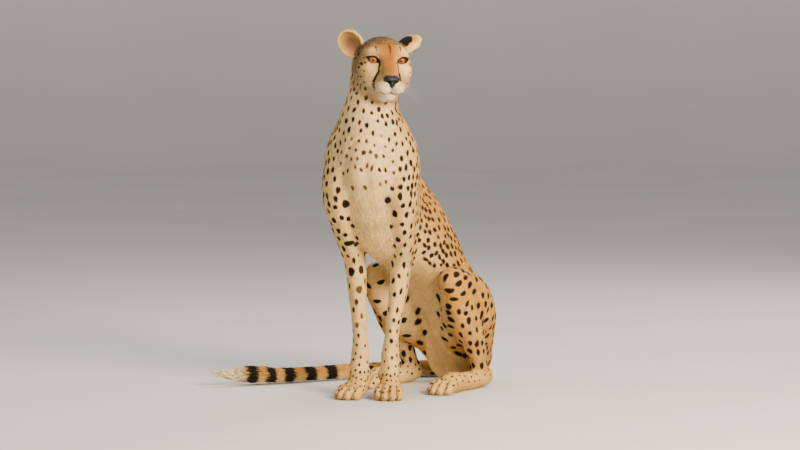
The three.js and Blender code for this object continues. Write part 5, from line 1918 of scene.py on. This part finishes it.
def stage_floor():
    """A pale floor that curves up far away on every side, so that no view shows an edge."""
    bend = np.linspace(0, math.pi / 2, 16)
    profile = [(r, 0) for r in (2, 5, FLOOR_FLAT)]
    profile += [(FLOOR_FLAT + FLOOR_CURVE * math.sin(a), FLOOR_CURVE * (1 - math.cos(a))) for a in bend[1:]]
    profile.append((FLOOR_FLAT + FLOOR_CURVE, FLOOR_CURVE + FLOOR_WALL))
    turn = np.arange(FLOOR_SPOKES) / FLOOR_SPOKES * 2 * math.pi
    verts = [(0, 0, 0)] + [(r * math.cos(a), r * math.sin(a), z) for r, z in profile for a in turn]
    after = [(j + 1) % FLOOR_SPOKES for j in range(FLOOR_SPOKES)]
    faces = [(0, 1 + j, 1 + k) for j, k in enumerate(after)]
    for i in range(len(profile) - 1):
        low, high = 1 + i * FLOOR_SPOKES, 1 + (i + 1) * FLOOR_SPOKES
        faces += [(low + j, high + j, high + k, low + k) for j, k in enumerate(after)]
    mesh = bpy.data.meshes.new("floor")
    mesh.from_pydata(verts, [], faces)
    mesh.shade_smooth()
    floor = bpy.data.objects.new("floor", mesh)
    bpy.context.scene.collection.objects.link(floor)
    made, tree, shader = material("floor", 0.9, 0.2)
    shade = blend(tree, span(tree, noise(tree, 1.2, 2.0), 0.3, 0.7), FLOOR_GREY, FLOOR_PALE)
    place = node(tree, "ShaderNodeTexCoord").outputs["Object"]
    height = node(tree, "ShaderNodeSeparateXYZ", {0: place}).outputs[2]
    wear(tree, shader, blend(tree, span(tree, height, 0.0, 1.5), shade, WALL_PALE))
    mesh.materials.append(made)


stage_floor()


def look(obj, target):
    """Turns a lamp or the camera to a point."""
    direction = Vector(target) - obj.location
    obj.rotation_euler = direction.to_track_quat("-Z", "Y").to_euler()


def area_light(name, place, target, size, power, colour):
    lamp = bpy.data.lights.new(name, "AREA")
    lamp.size = size
    lamp.energy = power
    lamp.color = colour
    obj = bpy.data.objects.new(name, lamp)
    bpy.context.scene.collection.objects.link(obj)
    obj.location = place
    look(obj, target)


# Name, place from the animal's middle, size, power, colour.
LIGHTS = [
    ("key", (2.4, -2.8, 1.5), 1.5, 350, (1.0, 0.85, 0.66)),
    ("fill", (-3.2, -2.2, 1.4), 3.0, 34, (0.92, 0.95, 1.0)),
    ("top", (0.2, 0.6, 3.2), 3.0, 70, (1.0, 0.98, 0.95)),
    ("rim", (1.6, 2.6, 2.0), 1.6, 60, (1.0, 0.92, 0.8)),
]
WORLD_COLOUR, WORLD_STRENGTH = (0.97, 0.96, 0.95, 1), 0.46

centre = Vector(world((60, 100, 480)))
for name, place, size, power, colour in LIGHTS:
    area_light(name, centre + Vector(place), centre, size, power, colour)
world_data = bpy.data.worlds.new("studio")
bpy.context.scene.world = world_data
world_data.use_nodes = True
background = world_data.node_tree.nodes["Background"]
background.inputs["Color"].default_value = WORLD_COLOUR
background.inputs["Strength"].default_value = WORLD_STRENGTH

azimuth, elevation = math.radians(CAMERA_AZIMUTH), math.radians(CAMERA_ELEVATION)
right = np.array([math.cos(azimuth), math.sin(azimuth), 0])
aside = right * (PHOTO_MIDDLE[0] - ORIGIN_PIXEL[0]) * MM_PER_PIXEL
above = (ORIGIN_PIXEL[1] - PHOTO_MIDDLE[1]) * MM_PER_PIXEL
target = Vector(world(aside + np.array([0, 0, above])))
level = math.cos(elevation)
back = Vector((math.sin(azimuth) * level, -math.cos(azimuth) * level, math.sin(elevation)))
camera_data = bpy.data.cameras.new("camera")
camera_data.sensor_width = SENSOR
camera_data.lens = SENSOR * CAMERA_FAR / (PHOTO_WIDE * MM_PER_PIXEL / 1000)
camera_data.clip_end = 100
camera = bpy.data.objects.new("camera", camera_data)
bpy.context.scene.collection.objects.link(camera)
camera.location = target + back * CAMERA_FAR
look(camera, target)
bpy.context.scene.camera = camera
